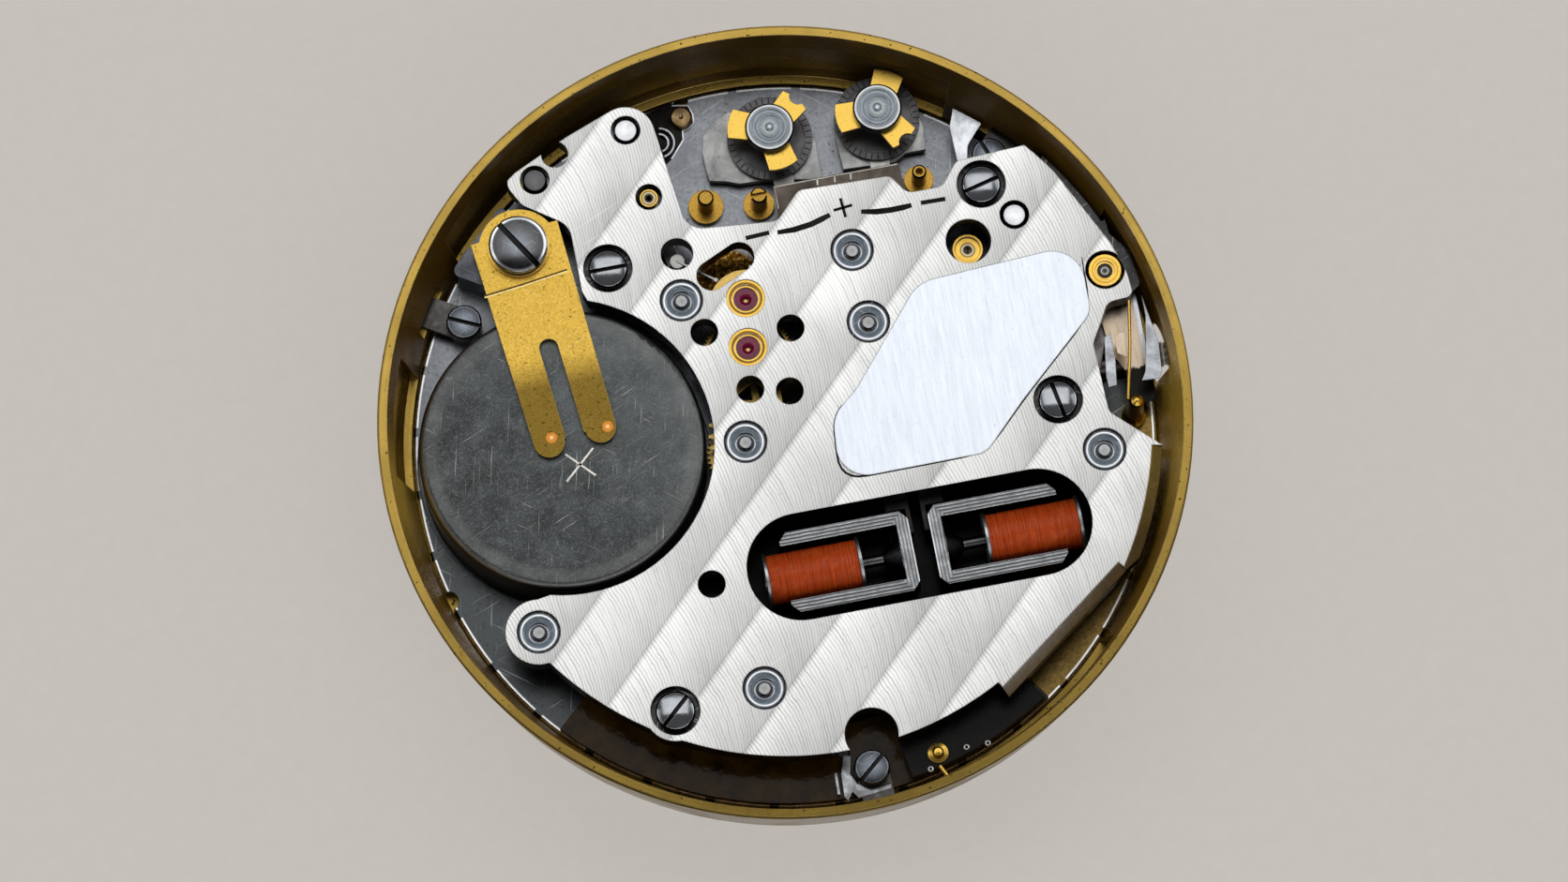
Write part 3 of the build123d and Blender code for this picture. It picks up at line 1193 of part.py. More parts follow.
def plate_jewels():
    """Lower bearings of the train, let into the plate's upper face."""
    low = PLATE_TOP_Z - PLATE_JEWEL_H
    sink = low + PLATE_JEWEL_H / 2
    return [
        disc(PLATE_JEWEL_R, low, PLATE_TOP_Z, place) - disc(JEWEL_HOLE_R, sink, RING_H, place)
        for place in TRAIN_PLACES
    ]


def cannon_pinion():
    """Cannon pinion on the centre tube, whose long pipe carries the minute hand."""
    leaves = toothed(CANNON_TEETH, MOTION_MODULE, mesh_phase(CANNON_TEETH, MOTION_DEGREES, True))
    body = slab(leaves, CANNON_Z, CANNON_Z + CANNON_TOOTH_H)
    waist_z = CANNON_BOTTOM_Z + CANNON_SEAT_L
    body = body + disc(CANNON_R, CANNON_BOTTOM_Z, waist_z)
    body = body + frustum(CANNON_R, CANNON_WAIST_R, waist_z, CANNON_Z + CANNON_TOOTH_H / 2)
    return body - disc(CENTRE_TUBE_R + RUNNING, 0, RING_H)


def minute_wheel():
    """Minute wheel of the motion work with the pinion that drives the hour wheel."""
    back = MOTION_DEGREES + 180
    wheel = toothed(MINUTE_TEETH, MOTION_MODULE, mesh_phase(MINUTE_TEETH, back, False))
    body = slab(wheel, MINUTE_Z, MINUTE_Z + WHEEL_T)
    leaves = toothed(MINUTE_PINION_TEETH, MOTION_MODULE, mesh_phase(MINUTE_PINION_TEETH, back, True))
    body = body + slab(leaves, HOUR_Z - LOOSE / 2, MINUTE_Z + WHEEL_T / 2)
    return Pos(*MINUTE_PLACE) * (body - disc(2 * PIVOT_R + RUNNING, 0, RING_H))


def hour_wheel():
    """Hour wheel and its pipe, which turns on the cannon pinion."""
    wheel = toothed(HOUR_TEETH, MOTION_MODULE, mesh_phase(HOUR_TEETH, MOTION_DEGREES, False))
    body = slab(wheel, HOUR_Z, HOUR_Z + WHEEL_T)
    waist_z = HOUR_PIPE_BOTTOM_Z + HOUR_SEAT_L
    body = body + disc(HOUR_PIPE_R, HOUR_PIPE_BOTTOM_Z, waist_z)
    body = body + frustum(HOUR_PIPE_R, HOUR_WAIST_R, waist_z, HOUR_Z + WHEEL_T / 2)
    return body - disc(CANNON_WAIST_R + RUNNING, 0, RING_H)


def date_driving_wheel():
    """Wheel that turns once a day, driven by the hour wheel, with a boss for the finger."""
    hour_phase = mesh_phase(HOUR_TEETH, MOTION_DEGREES, False)
    pitch = 360 / HOUR_TEETH
    offset = ((DATE_WHEEL_DEGREES - hour_phase) / pitch) % 1
    back = DATE_WHEEL_DEGREES + 180
    phase = back + (0.5 + offset) * 360 / DATE_WHEEL_TEETH
    bore = 2 * PIVOT_R + RUNNING
    wheel = spoked_wheel(DATE_WHEEL_TEETH, MOTION_MODULE, phase, bore)
    body = slab(Pos(*DATE_WHEEL_PLACE) * wheel, HOUR_Z, HOUR_Z + WHEEL_T)
    boss = tube(SPOKE_W + 2 * PIVOT_R, bore, DATE_RING_Z + DATE_RING_T, HOUR_Z, DATE_WHEEL_PLACE)
    return body + boss


def date_finger():
    """Sprung finger that pushes the date ring on, one tooth a day."""
    end = polar(FINGER_L, FINGER_DEGREES)
    end = (DATE_WHEEL_PLACE[0] + end[0], DATE_WHEEL_PLACE[1] + end[1])
    finger = bar(DATE_WHEEL_PLACE, end, FINGER_W, DATE_RING_Z, DATE_RING_Z + DATE_RING_T)
    finger = finger + disc(SPOKE_W + 2 * PIVOT_R, DATE_RING_Z, DATE_RING_Z + DATE_RING_T, DATE_WHEEL_PLACE)
    return finger - disc(2 * PIVOT_R + RUNNING, 0, RING_H, DATE_WHEEL_PLACE)


def date_ring():
    """Date ring with thirty-one pointed teeth round its inner edge."""
    pitch = 360 / DATE_DAYS
    points = []
    for i in range(DATE_DAYS):
        middle = JUMPER_DEGREES + (i + 0.5) * pitch
        points.append(polar(DATE_TIP_R, middle))
        points.append(polar(DATE_RING_INNER_R, middle + pitch / 4))
        points.append(polar(DATE_RING_INNER_R, middle + pitch * 3 / 4))
    return slab(Circle(DATE_RING_R) - Polygon(*points, align=None), DATE_RING_Z, DATE_RING_Z + DATE_RING_T)


def date_jumper():
    """Jumper spring on its post, its beak between two teeth of the date ring."""
    start = polar(JUMPER_ARM_R, JUMPER_ARM_DEGREES)
    neck = polar(DATE_TIP_R - JUMPER_BEAK_W, JUMPER_DEGREES)
    low = DATE_RING_Z
    top = DATE_RING_Z + DATE_RING_T
    arm = bar(start, neck, JUMPER_W, low, top)
    beak = Polygon(
        (DATE_TIP_R - JUMPER_BEAK_W, -JUMPER_W / 2), (DATE_TIP_R + JUMPER_W / 2, 0),
        (DATE_TIP_R - JUMPER_BEAK_W, JUMPER_W / 2), align=None,
    )
    spring = arm + slab(Rot(0, 0, JUMPER_DEGREES) * beak, low, top)
    spring = spring + disc(JUMPER_POST_R + JUMPER_W, low, top, start)
    return spring - disc(JUMPER_POST_R, 0, RING_H, start)


def calendar_plate():
    """Thin plate that keeps the date ring and the motion work in place."""
    plate = disc(CALENDAR_R, CALENDAR_Z, CALENDAR_Z + CALENDAR_T) - disc(CALENDAR_HOLE_R, 0, RING_H)
    for degrees in CALENDAR_POST_DEGREES:
        plate = plate - disc(DIAL_SCREW_SHANK_R + RUNNING, 0, RING_H, polar(CALENDAR_POST_PLACE_R, degrees))
    return plate


def dial_side_screws():
    """Three screws of the calendar plate and the two fork screws that come up through the plate."""
    screws = []
    for degrees in CALENDAR_POST_DEGREES:
        place = polar(CALENDAR_POST_PLACE_R, degrees)
        head = disc(DIAL_SCREW_R, CALENDAR_Z - DIAL_SCREW_HEAD_H, CALENDAR_Z, place)
        slot = Pos(*place, 0) * Rot(0, 0, degrees) * Box(
            4 * DIAL_SCREW_R, SLOT_WIDTH, 2 * (CALENDAR_Z - DIAL_SCREW_HEAD_H / 2), align=(Align.CENTER,) * 3
        )
        screws.append(head - slot + disc(DIAL_SCREW_SHANK_R, CALENDAR_Z, PLATE_UNDER_Z, place))
    for share in BUSHING_SHARES[2:4]:
        head = disc(DIAL_SCREW_R, PLATE_UNDER_Z - DIAL_SCREW_HEAD_H, PLATE_UNDER_Z, at(share))
        screws.append(head + disc(FORK_POST_R, PLATE_UNDER_Z, PLATE_UNDER_Z + OVERRUN, at(share)))
    return screws


def setting_stem():
    """Stem: inner pivot, square for the sliding pinion, body with the lever's groove and the thread."""
    stem = stem_turned(STEM_PIVOT_R, STEM_PIVOT_START_R, STEM_BODY_START_R)
    place = stem_place(STEM_SQUARE_START_R)
    square = Pos(place[0], place[1], STEM_Z) * Rot(0, 0, STEM_DEGREES) * Box(
        STEM_BODY_START_R - STEM_SQUARE_START_R, STEM_SQUARE_W, STEM_SQUARE_W,
        align=(Align.MIN, Align.CENTER, Align.CENTER),
    )
    stem = stem + square + stem_turned(STEM_BODY_R, STEM_BODY_START_R, STEM_BODY_END_R)
    neck = stem_place(STEM_BODY_END_R)
    stem = stem + Pos(neck[0], neck[1], STEM_Z) * Rot(0, 0, STEM_DEGREES) * Rot(0, 90, 0) * Cone(
        STEM_BODY_R, STEM_THREAD_R, STEM_THREAD_START_R - STEM_BODY_END_R, align=BASE
    )
    stem = stem + stem_turned(STEM_THREAD_R, STEM_THREAD_START_R, STEM_END_R)
    start = STEM_GROOVE_R - STEM_GROOVE_W / 2
    end = STEM_GROOVE_R + STEM_GROOVE_W / 2
    groove = stem_turned(STEM_BODY_R + OVERRUN, start, end) - stem_turned(STEM_GROOVE_CORE_R, start, end)
    return stem - groove


def sliding_pinion():
    """Sliding pinion on the stem's square, with crown teeth at the inner end and the yoke's groove."""
    body = stem_turned(PINION_R, PINION_START_R, PINION_END_R)
    middle = (PINION_START_R + PINION_END_R) / 2
    groove = stem_turned(PINION_R + OVERRUN, middle - PINION_GROOVE_W / 2, middle + PINION_GROOVE_W / 2)
    body = body - (groove - stem_turned(PINION_GROOVE_R, PINION_START_R, PINION_END_R))
    place = stem_place(PINION_START_R - OVERRUN)
    width = STEM_SQUARE_W + 2 * RUNNING
    bore = Pos(place[0], place[1], STEM_Z) * Rot(0, 0, STEM_DEGREES) * Box(
        PINION_END_R - PINION_START_R + 2 * OVERRUN, width, width,
        align=(Align.MIN, Align.CENTER, Align.CENTER),
    )
    body = body - bore
    start = stem_place(PINION_START_R)
    lie = Pos(start[0], start[1], STEM_Z) * Rot(0, 0, STEM_DEGREES) * Rot(0, 90, 0)
    for i in range(PINION_CROWN_TEETH):
        notch = Pos(PINION_R, 0, 0) * Box(PINION_GROOVE_W, SLOT_WIDTH, 2 * SLOT_WIDTH)
        body = body - lie * Rot(0, 0, i * 360 / PINION_CROWN_TEETH) * notch
    return body


def setting_lever():
    """Lever on its post: the peg underneath stands in the stem's groove."""
    peg = stem_place(STEM_GROOVE_R)
    lever = bar(ECCENTRIC_PLACE, peg, LEVER_W, LEVER_Z, LEVER_Z + LEVER_T)
    lever = lever + disc(LEVER_PEG_R, LEVER_PEG_TIP_Z, LEVER_Z, peg)
    return lever - disc(LEVER_POST_R + RUNNING, 0, RING_H, ECCENTRIC_PLACE)


def yoke():
    """Forked lever whose tip stands in the sliding pinion's groove."""
    middle = (PINION_START_R + PINION_END_R) / 2
    tip = stem_place(middle, PINION_GROOVE_R)
    tail = stem_place(middle, PINION_R + YOKE_L)
    width = PINION_GROOVE_W - 2 * RUNNING
    low = PLATE_TOP_Z + LOOSE
    finger = bar(stem_place(middle, PINION_GROOVE_R + RUNNING), tail, width, low, low + YOKE_T, square=True)
    length, _ = between(tip, tail)
    blade = bar(stem_place(middle, PINION_R + YOKE_W), tail, YOKE_W, low, low + YOKE_T)
    return finger + blade


def keyless_cover():
    """Cover over the keyless work on two posts, and the setting lever's post."""
    cover = slab(rounded(scaled(COVER_SHARES)), COVER_Z, COVER_Z + COVER_T)
    for share in COVER_POST_SHARES:
        cover = cover + disc(COVER_POST_R, PLATE_TOP_Z, COVER_Z + COVER_T, at(share))
    return [cover, disc(LEVER_POST_R, PLATE_TOP_Z, BRIDGE_TOP_Z - 2 * BUSHING_SINK, ECCENTRIC_PLACE)]


def stop_lever():
    """Leaf-shaped lever beside the right regulator, on its post."""
    leaf = slab(rounded(scaled(LEAF_SHARES)) & Circle(REACH_R), LEAF_Z, LEAF_Z + LEAF_T)
    return leaf + disc(LEAF_POST_R, PLATE_TOP_Z, LEAF_Z, at(LEAF_POST_SHARE))


def terminal_posts():
    """Posts beside the bridge, each on a collar, the middle one slotted and the last one hollow."""
    posts = []
    for i, share in enumerate(POST_SHARES):
        post = disc(POST_RADII[i], PLATE_TOP_Z, POST_TOP_Z[i], at(share))
        post = chamfer(post.edges().group_by(Axis.Z)[-1], HEAD_BEVEL)
        post = post + disc(POST_COLLAR_RADII[i], PLATE_TOP_Z, PLATE_TOP_Z + POST_COLLAR_H, at(share))
        if i == 1:
            post = post - Pos(*at(share), POST_TOP_Z[i] - SLOT_DEPTH) * Box(
                2 * POST_COLLAR_RADII[i], SLOT_WIDTH, SLOT_DEPTH + OVERRUN, align=BASE
            )
        if i == 2:
            post = post - disc(POST_RADII[i] / 2, POST_TOP_Z[i] - SCREW_HEAD_H, RING_H, at(share))
        posts.append(post)
    return posts


def circuit_carrier():
    """Amber carrier along the lower edge of the plate."""
    body = sector(CARRIER_INNER_R, BLOCK_EDGE_R, CARRIER_DEGREES, PLATE_TOP_Z, PLATE_TOP_Z + CARRIER_T)
    for place in (at(CLAMP_SHARES[1]), at(BRIDGE_SCREW_SHARES[3])):
        body = body - disc(CLAMP_W / 2 + LOOSE, 0, RING_H, place)
    return body


def circuit_block():
    """Potted circuit on the carrier."""
    low = PLATE_TOP_Z + CARRIER_T
    block = sector(CARRIER_INNER_R, BLOCK_EDGE_R, CIRCUIT_DEGREES, low, CIRCUIT_TOP_Z)
    foot = sector(CIRCUIT_INNER_R, CARRIER_INNER_R - LOOSE, CIRCUIT_DEGREES, PLATE_TOP_Z, CIRCUIT_TOP_Z)
    link = sector(CIRCUIT_INNER_R, CARRIER_INNER_R + OVERRUN, CIRCUIT_DEGREES, low, CIRCUIT_TOP_Z)
    return block + foot + link


def write(name, shape):
    """One STEP file for each sub-part; like pieces share a file as separate solids."""
    if isinstance(shape, (list, tuple)):
        solids = [solid for piece in shape for solid in piece.solids()]
        shape = Compound(children=solids)
    export_step(shape, f"parts/{name}.step")


def regulator_cap_and_shaft(index):
    """Cap and shaft of one star as a single turned piece round the star's hub."""
    return regulator_cap(index) + regulator_shaft(index)


PIECES = {
    "casing_ring": casing_ring,
    "casing_clamps": casing_clamps,
    "casing_screws": casing_screws,
    "main_plate": main_plate,
    "plate_jewels": plate_jewels,
    "train_bridge": train_bridge,
    "bridge_screws": bridge_screws,
    "steady_pins": steady_pins,
    "jewel_chatons": jewel_chatons,
    "ruby_jewels": ruby_jewels,
    "bridge_bushings": bridge_bushings,
    "eccentric_bush": eccentric_bush,
    "button_cell": button_cell,
    "cell_insulator": cell_insulator,
    "cell_contact_spring": cell_contact_spring,
    "battery_strap": battery_strap,
    "strap_screw": strap_screw,
    "strap_washer": strap_washer,
    "strap_block": strap_block,
    "fork_base": fork_base,
    "dial_side_screws": dial_side_screws,
    "fork_arm_left": lambda: fork_arm(-1),
    "fork_arm_right": lambda: fork_arm(1),
    "magnet_cup_left": lambda: magnet_cup(-1),
    "magnet_cup_right": lambda: magnet_cup(1),
    "magnet_cone_left": lambda: magnet_cone(-1),
    "magnet_cone_right": lambda: magnet_cone(1),
    "coil_formers": lambda: [coil_former(-1), coil_former(1)],
    "coil_windings": lambda: [coil_winding(-1), coil_winding(1)],
    "regulator_dial_left": lambda: regulator_dial(0),
    "regulator_dial_right": lambda: regulator_dial(1),
    "regulator_star_left": lambda: regulator_star(0),
    "regulator_star_right": lambda: regulator_star(1),
    "regulator_cap_left": lambda: regulator_cap_and_shaft(0),
    "regulator_cap_right": lambda: regulator_cap_and_shaft(1),
    "index_plate": index_plate,
    "index_wheel": index_wheel,
    "drive_pawl": drive_pawl,
    "hold_pawl": hold_pawl,
    "intermediate_wheel": intermediate_wheel,
    "seconds_wheel": seconds_wheel,
    "third_wheel": third_wheel,
    "centre_wheel": centre_wheel,
    "cannon_pinion": cannon_pinion,
    "minute_wheel": minute_wheel,
    "hour_wheel": hour_wheel,
    "date_driving_wheel": date_driving_wheel,
    "date_finger": date_finger,
    "date_ring": date_ring,
    "date_jumper": date_jumper,
    "calendar_plate": calendar_plate,
    "setting_stem": setting_stem,
    "sliding_pinion": sliding_pinion,
    "setting_lever": setting_lever,
    "yoke": yoke,
    "keyless_cover": keyless_cover,
    "stop_lever": stop_lever,
    "terminal_posts": terminal_posts,
    "circuit_carrier": circuit_carrier,
    "circuit_block": circuit_block,
}

os.makedirs("parts", exist_ok=True)
for piece_name, make in PIECES.items():
    write(piece_name, make())
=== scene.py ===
"""Finishes and fine pieces of a tuning fork watch movement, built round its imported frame."""

import json
import math

import bmesh
import bpy
from bpy.props import FloatProperty, FloatVectorProperty, IntProperty, PointerProperty
from mathutils import Matrix, Vector


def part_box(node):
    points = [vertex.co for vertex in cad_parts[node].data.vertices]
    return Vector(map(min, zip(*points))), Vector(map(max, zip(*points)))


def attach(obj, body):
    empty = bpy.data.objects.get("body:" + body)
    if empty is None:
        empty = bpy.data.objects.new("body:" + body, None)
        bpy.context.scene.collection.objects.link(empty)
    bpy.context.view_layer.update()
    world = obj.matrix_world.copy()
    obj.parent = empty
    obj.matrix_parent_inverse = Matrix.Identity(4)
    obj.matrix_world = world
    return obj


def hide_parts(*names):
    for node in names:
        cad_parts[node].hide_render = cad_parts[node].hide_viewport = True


bl_info = {
    "name": "Tuning fork movement finishes",
    "version": (1, 0, 0),
    "blender": (4, 5, 0),
    "location": "View3D > Sidebar > Movement",
    "description": "Finishes the frame of a tuning fork watch movement and adds its fine pieces",
    "category": "Object",
}

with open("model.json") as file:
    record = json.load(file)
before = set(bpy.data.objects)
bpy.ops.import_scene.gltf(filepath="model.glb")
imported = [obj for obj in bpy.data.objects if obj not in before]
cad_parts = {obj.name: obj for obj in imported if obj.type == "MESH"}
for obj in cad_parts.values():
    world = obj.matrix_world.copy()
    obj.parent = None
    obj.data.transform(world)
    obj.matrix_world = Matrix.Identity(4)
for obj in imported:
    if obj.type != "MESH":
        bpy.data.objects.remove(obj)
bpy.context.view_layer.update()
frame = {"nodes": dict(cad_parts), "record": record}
NODES = frame["nodes"]
MM = 0.001

# Lengths and places in the piece's plane, in millimetres
SUNK = 0.02  # depth that a flat mark reaches into the face under it
FLANGE_R = 14.9  # where the plate's lip begins, brightened as a painted highlight
COIL_REACH = 4.9  # half the length of the straight part of the painted black shade under the coils
# centre of the kidney slot, under which the plate gets painted shade with amber glints
KIDNEY_SLOT = (-1.12, 6.95)
# centres of the strap's copper-red dots, each with a painted glint
STRAP_GLINT_DOTS = ((-9.32, 1.29), (-7.02, 1.32))
COVER_EAST, COVER_FOOT = 14.9, 0.05  # where the cover turns pale with a painted reflection, and where it turns black
SLOT_DEPTH, NO_SLOT = 0.08, 9.0  # how far below a head's top painted shade turns it dark
ARM_THICK, DIAL_HIGH = 0.45, 0.22

# Lamps: place in metres, width, height and power
LAMPS = {
    "top_box": ((0.02, 0.17, 0.42), 0.46, 0.3, 0.6),
    "left_box": ((-0.42, 0.05, 0.3), 0.3, 0.4, 0.34),
    "right_strip": ((0.4, 0.08, 0.24), 0.2, 0.4, 0.3),
    "front_box": ((0.08, -0.42, 0.34), 0.64, 0.42, 0.9),
}
CAMERA_PLACE = (-0.01331, -0.06886, 0.29894)
CAMERA_TURN, CAMERA_RISE = math.radians(-10.9), math.radians(76.63)
CAMERA_LENS, CAMERA_SENSOR = 171.608, 36.0
FLOOR_HALF, FLOOR_Z = 1.2, -0.05 * MM


# Graph helper


def is_socket(value):
    return isinstance(value, bpy.types.NodeSocket)


def rgba(colour, value=1.0):
    """A plain colour times a value, as four numbers; a socket passes as it is."""
    if is_socket(colour):
        return colour
    return (colour[0] * value, colour[1] * value, colour[2] * value, 1.0)


class Graph:
    """Short names for the nodes of one tree."""

    def __init__(self, tree):
        self.tree = tree

    def add(self, kind, **settings):
        node = self.tree.nodes.new(kind)
        for key, value in settings.items():
            setattr(node, key, value)
        return node

    def put(self, socket, value):
        if is_socket(value):
            self.tree.links.new(value, socket)
        elif value is not None:
            socket.default_value = value

    def math(self, operation, a, b=None, c=None):
        node = self.add("ShaderNodeMath", operation=operation)
        for socket, value in zip(node.inputs, (a, b, c)):
            self.put(socket, value)
        return node.outputs[0]

    def times(self, a, b):
        return self.math("MULTIPLY", a, b)

    def plus(self, a, b):
        return self.math("ADD", a, b)

    def minus(self, a, b):
        return self.math("SUBTRACT", a, b)

    def vector(self, operation, a, b=None, scale=None):
        node = self.add("ShaderNodeVectorMath", operation=operation)
        self.put(node.inputs[0], a)
        self.put(node.inputs[1], b)
        if scale is not None:
            self.put(node.inputs["Scale"], scale)
        return node.outputs["Value" if operation in ("DOT_PRODUCT", "LENGTH", "DISTANCE") else "Vector"]

    def split(self, value):
        node = self.add("ShaderNodeSeparateXYZ")
        self.put(node.inputs[0], value)
        return node.outputs

    def join(self, x, y, z=0.0):
        node = self.add("ShaderNodeCombineXYZ")
        for socket, value in zip(node.inputs, (x, y, z)):
            self.put(socket, value)
        return node.outputs[0]

    def noise(self, vector, scale, detail=3.0, roughness=0.55, distortion=0.0):
        node = self.add("ShaderNodeTexNoise")
        labels = ("Vector", "Scale", "Detail", "Roughness", "Distortion")
        for label, value in zip(labels, (vector, scale, detail, roughness, distortion)):
            self.put(node.inputs[label], value)
        return node.outputs["Fac"]

    def remap(self, value, low, high, out_low=0.0, out_high=1.0):
        node = self.add("ShaderNodeMapRange", clamp=True)
        for socket, v in zip(node.inputs, (value, low, high, out_low, out_high)):
            self.put(socket, v)
        return node.outputs[0]

    def mix(self, factor, a, b):
        """Colour between a and b, each a plain colour or a socket."""
        node = self.add("ShaderNodeMix", data_type="RGBA")
        for place, value in ((0, factor), (6, rgba(a)), (7, rgba(b))):
            self.put(node.inputs[place], value)
        return node.outputs[2]

    def tint(self, colour, value):
        """Colour times a value."""
        return self.vector("SCALE", colour if is_socket(colour) else rgba(colour)[:3], scale=value)

    def layers(self, base, *coats):
        """Lays coats of (where, colour) or (where, colour, strength) over a base; a number as colour dims it."""
        for where, colour, *strength in coats:
            if strength:
                where = self.times(where, strength[0])
            base = self.mix(where, base, self.tint(base, colour) if isinstance(colour, float) else colour)
        return base

    def ramp(self, value, stops):
        """Colour along a value, as stops of place and colour from 0 to 1."""
        node = self.add("ShaderNodeValToRGB")
        points = node.color_ramp.elements
        points[0].color, points[1].color = rgba(stops[0][1]), rgba(stops[-1][1])
        for place, colour in stops[1:-1]:
            points.new(place).color = rgba(colour)
        self.put(node.inputs[0], value)
        return node.outputs[0]

    def group(self, build, **inputs):
        """A shared effect, given as the function that builds it."""
        node = self.add("ShaderNodeGroup")
        if build not in EFFECTS:
            EFFECTS[build] = build()
        node.node_tree = EFFECTS[build]
        for name, value in inputs.items():
            self.put(node.inputs[name], value)
        return node.outputs

    def bump(self, height, strength, depth, normal=None):
        """Normal of a fine relief, with its depth in millimetres."""
        node = self.add("ShaderNodeBump")
        values = {"Strength": strength, "Distance": depth * MM, "Height": height, "Normal": normal}
        for label, value in values.items():
            self.put(node.inputs[label], value)
        return node.outputs[0]


# Shared effects

EFFECTS = {}
VECTOR = "NodeSocketVector"
FLOAT = "NodeSocketFloat"
INTEGER = "NodeSocketInt"


def node_tree(kind, name, inputs, outputs, output_type=FLOAT):
    """An empty tree with named sockets; returns its graph, its input sockets and its output sockets."""
    tree = bpy.data.node_groups.new(name, kind)
    for label in outputs:
        tree.interface.new_socket(name=label, in_out="OUTPUT", socket_type=output_type)
    for label, socket_type, default in inputs:
        socket = tree.interface.new_socket(name=label, in_out="INPUT", socket_type=socket_type)
        if default is not None:
            socket.default_value = default
    g = Graph(tree)
    return g, g.add("NodeGroupInput").outputs, g.add("NodeGroupOutput").inputs


def striping():
    """Curved stripes: bands whose tone ramps across each band as a painted sheen, crossed by fine bowed tool lines.
    """
    g, given, out = node_tree(
        "ShaderNodeTree", "banded striping",
        [("Vector", VECTOR, None), ("Band", FLOAT, 2.8), ("Pitch", FLOAT, 0.14), ("Bow", FLOAT, 0.9)],
        ["Tone", "Lines", "Seam"],
    )
    across = g.vector("DOT_PRODUCT", given["Vector"], (-0.707, 0.707, 0.0))
    place = g.math("FRACT", g.math("DIVIDE", g.plus(across, 0.55), given["Band"]))
    centred = g.minus(place, 0.5)
    bowed = g.times(g.times(centred, centred), given["Bow"])
    along = g.vector("DOT_PRODUCT", given["Vector"], (0.985, 0.174, 0.0))
    wobble = g.times(g.noise(given["Vector"], 2.2, 2.0), 0.12)
    turn = g.math("DIVIDE", g.plus(g.plus(along, bowed), wobble), given["Pitch"])
    wave = g.math("SINE", g.times(turn, 2 * math.pi))
    streak = g.noise(g.join(turn, g.times(across, 0.25)), 1.7, 2.0)
    lines = g.times(g.plus(g.times(wave, 0.5), 0.5), g.remap(streak, 0.3, 0.7, 0.25, 1.0))
    # Painted sheen: brightness ramps across each band.
    g.put(out["Tone"], g.math("SMOOTH_MIN", place, g.times(g.minus(1.0, place), 12.0), 0.1))
    g.put(out["Lines"], lines)
    g.put(out["Seam"], g.remap(g.math("ABSOLUTE", centred), 0.475, 0.5))
    return g.tree


def turning():
    """Rings that a lathe tool leaves, from a distance to the turned piece's axis."""
    g, given, out = node_tree(
        "ShaderNodeTree", "lathe rings",
        [("Vector", VECTOR, None), ("Distance", FLOAT, 0.0), ("Pitch", FLOAT, 0.06)],
        ["Rings", "Shade"],
    )
    wander = g.times(g.noise(given["Vector"], 3.0, 2.0), 0.06)
    turn = g.math("DIVIDE", g.plus(given["Distance"], wander), given["Pitch"])
    wave = g.math("SINE", g.times(turn, 2 * math.pi))
    broken = g.noise(g.join(turn, 0.0), 1.9, 3.0, 0.7)
    g.put(out["Rings"], g.math("MULTIPLY_ADD", wave, 0.3, broken))
    g.put(out["Shade"], g.remap(broken, 0.3, 0.7))
    return g.tree


def hairlines():
    """Fine straight scratches along one direction, given as a vector stretched along it."""
    g, given, out = node_tree(
        "ShaderNodeTree", "hairlines", [("Vector", VECTOR, None), ("Scale", FLOAT, 6.0)], ["Lines"]
    )
    g.put(out["Lines"], g.noise(given["Vector"], given["Scale"], 5.0, 0.75))
    return g.tree


def handling():
    """Marks of age: soft blotches, small pits and fine crossed scratches."""
    g, given, out = node_tree(
        "ShaderNodeTree", "handling marks",
        [("Vector", VECTOR, None), ("Scale", FLOAT, 1.0)], ["Blotch", "Pits", "Scratch"],
    )
    here = g.vector("SCALE", given["Vector"], scale=given["Scale"])
    scratch = None
    for angle in (0.4, 1.35, 2.5):
        along = g.vector("DOT_PRODUCT", here, (math.cos(angle) * 0.35, math.sin(angle) * 0.35, 0.2))
        across = g.vector("DOT_PRODUCT", here, (-math.sin(angle) * 14, math.cos(angle) * 14, 0.3))
        line = g.remap(g.noise(g.join(along, across), 1.0, 2.0, 0.6), 0.66, 0.72)
        scratch = line if scratch is None else g.math("MAXIMUM", scratch, line)
    g.put(out["Blotch"], g.remap(g.noise(here, 0.9, 4.0, 0.6, 0.4), 0.35, 0.68))
    g.put(out["Pits"], g.remap(g.noise(here, 9.0, 2.0, 0.5), 0.66, 0.74))
    g.put(out["Scratch"], scratch)
    return g.tree


# Materials


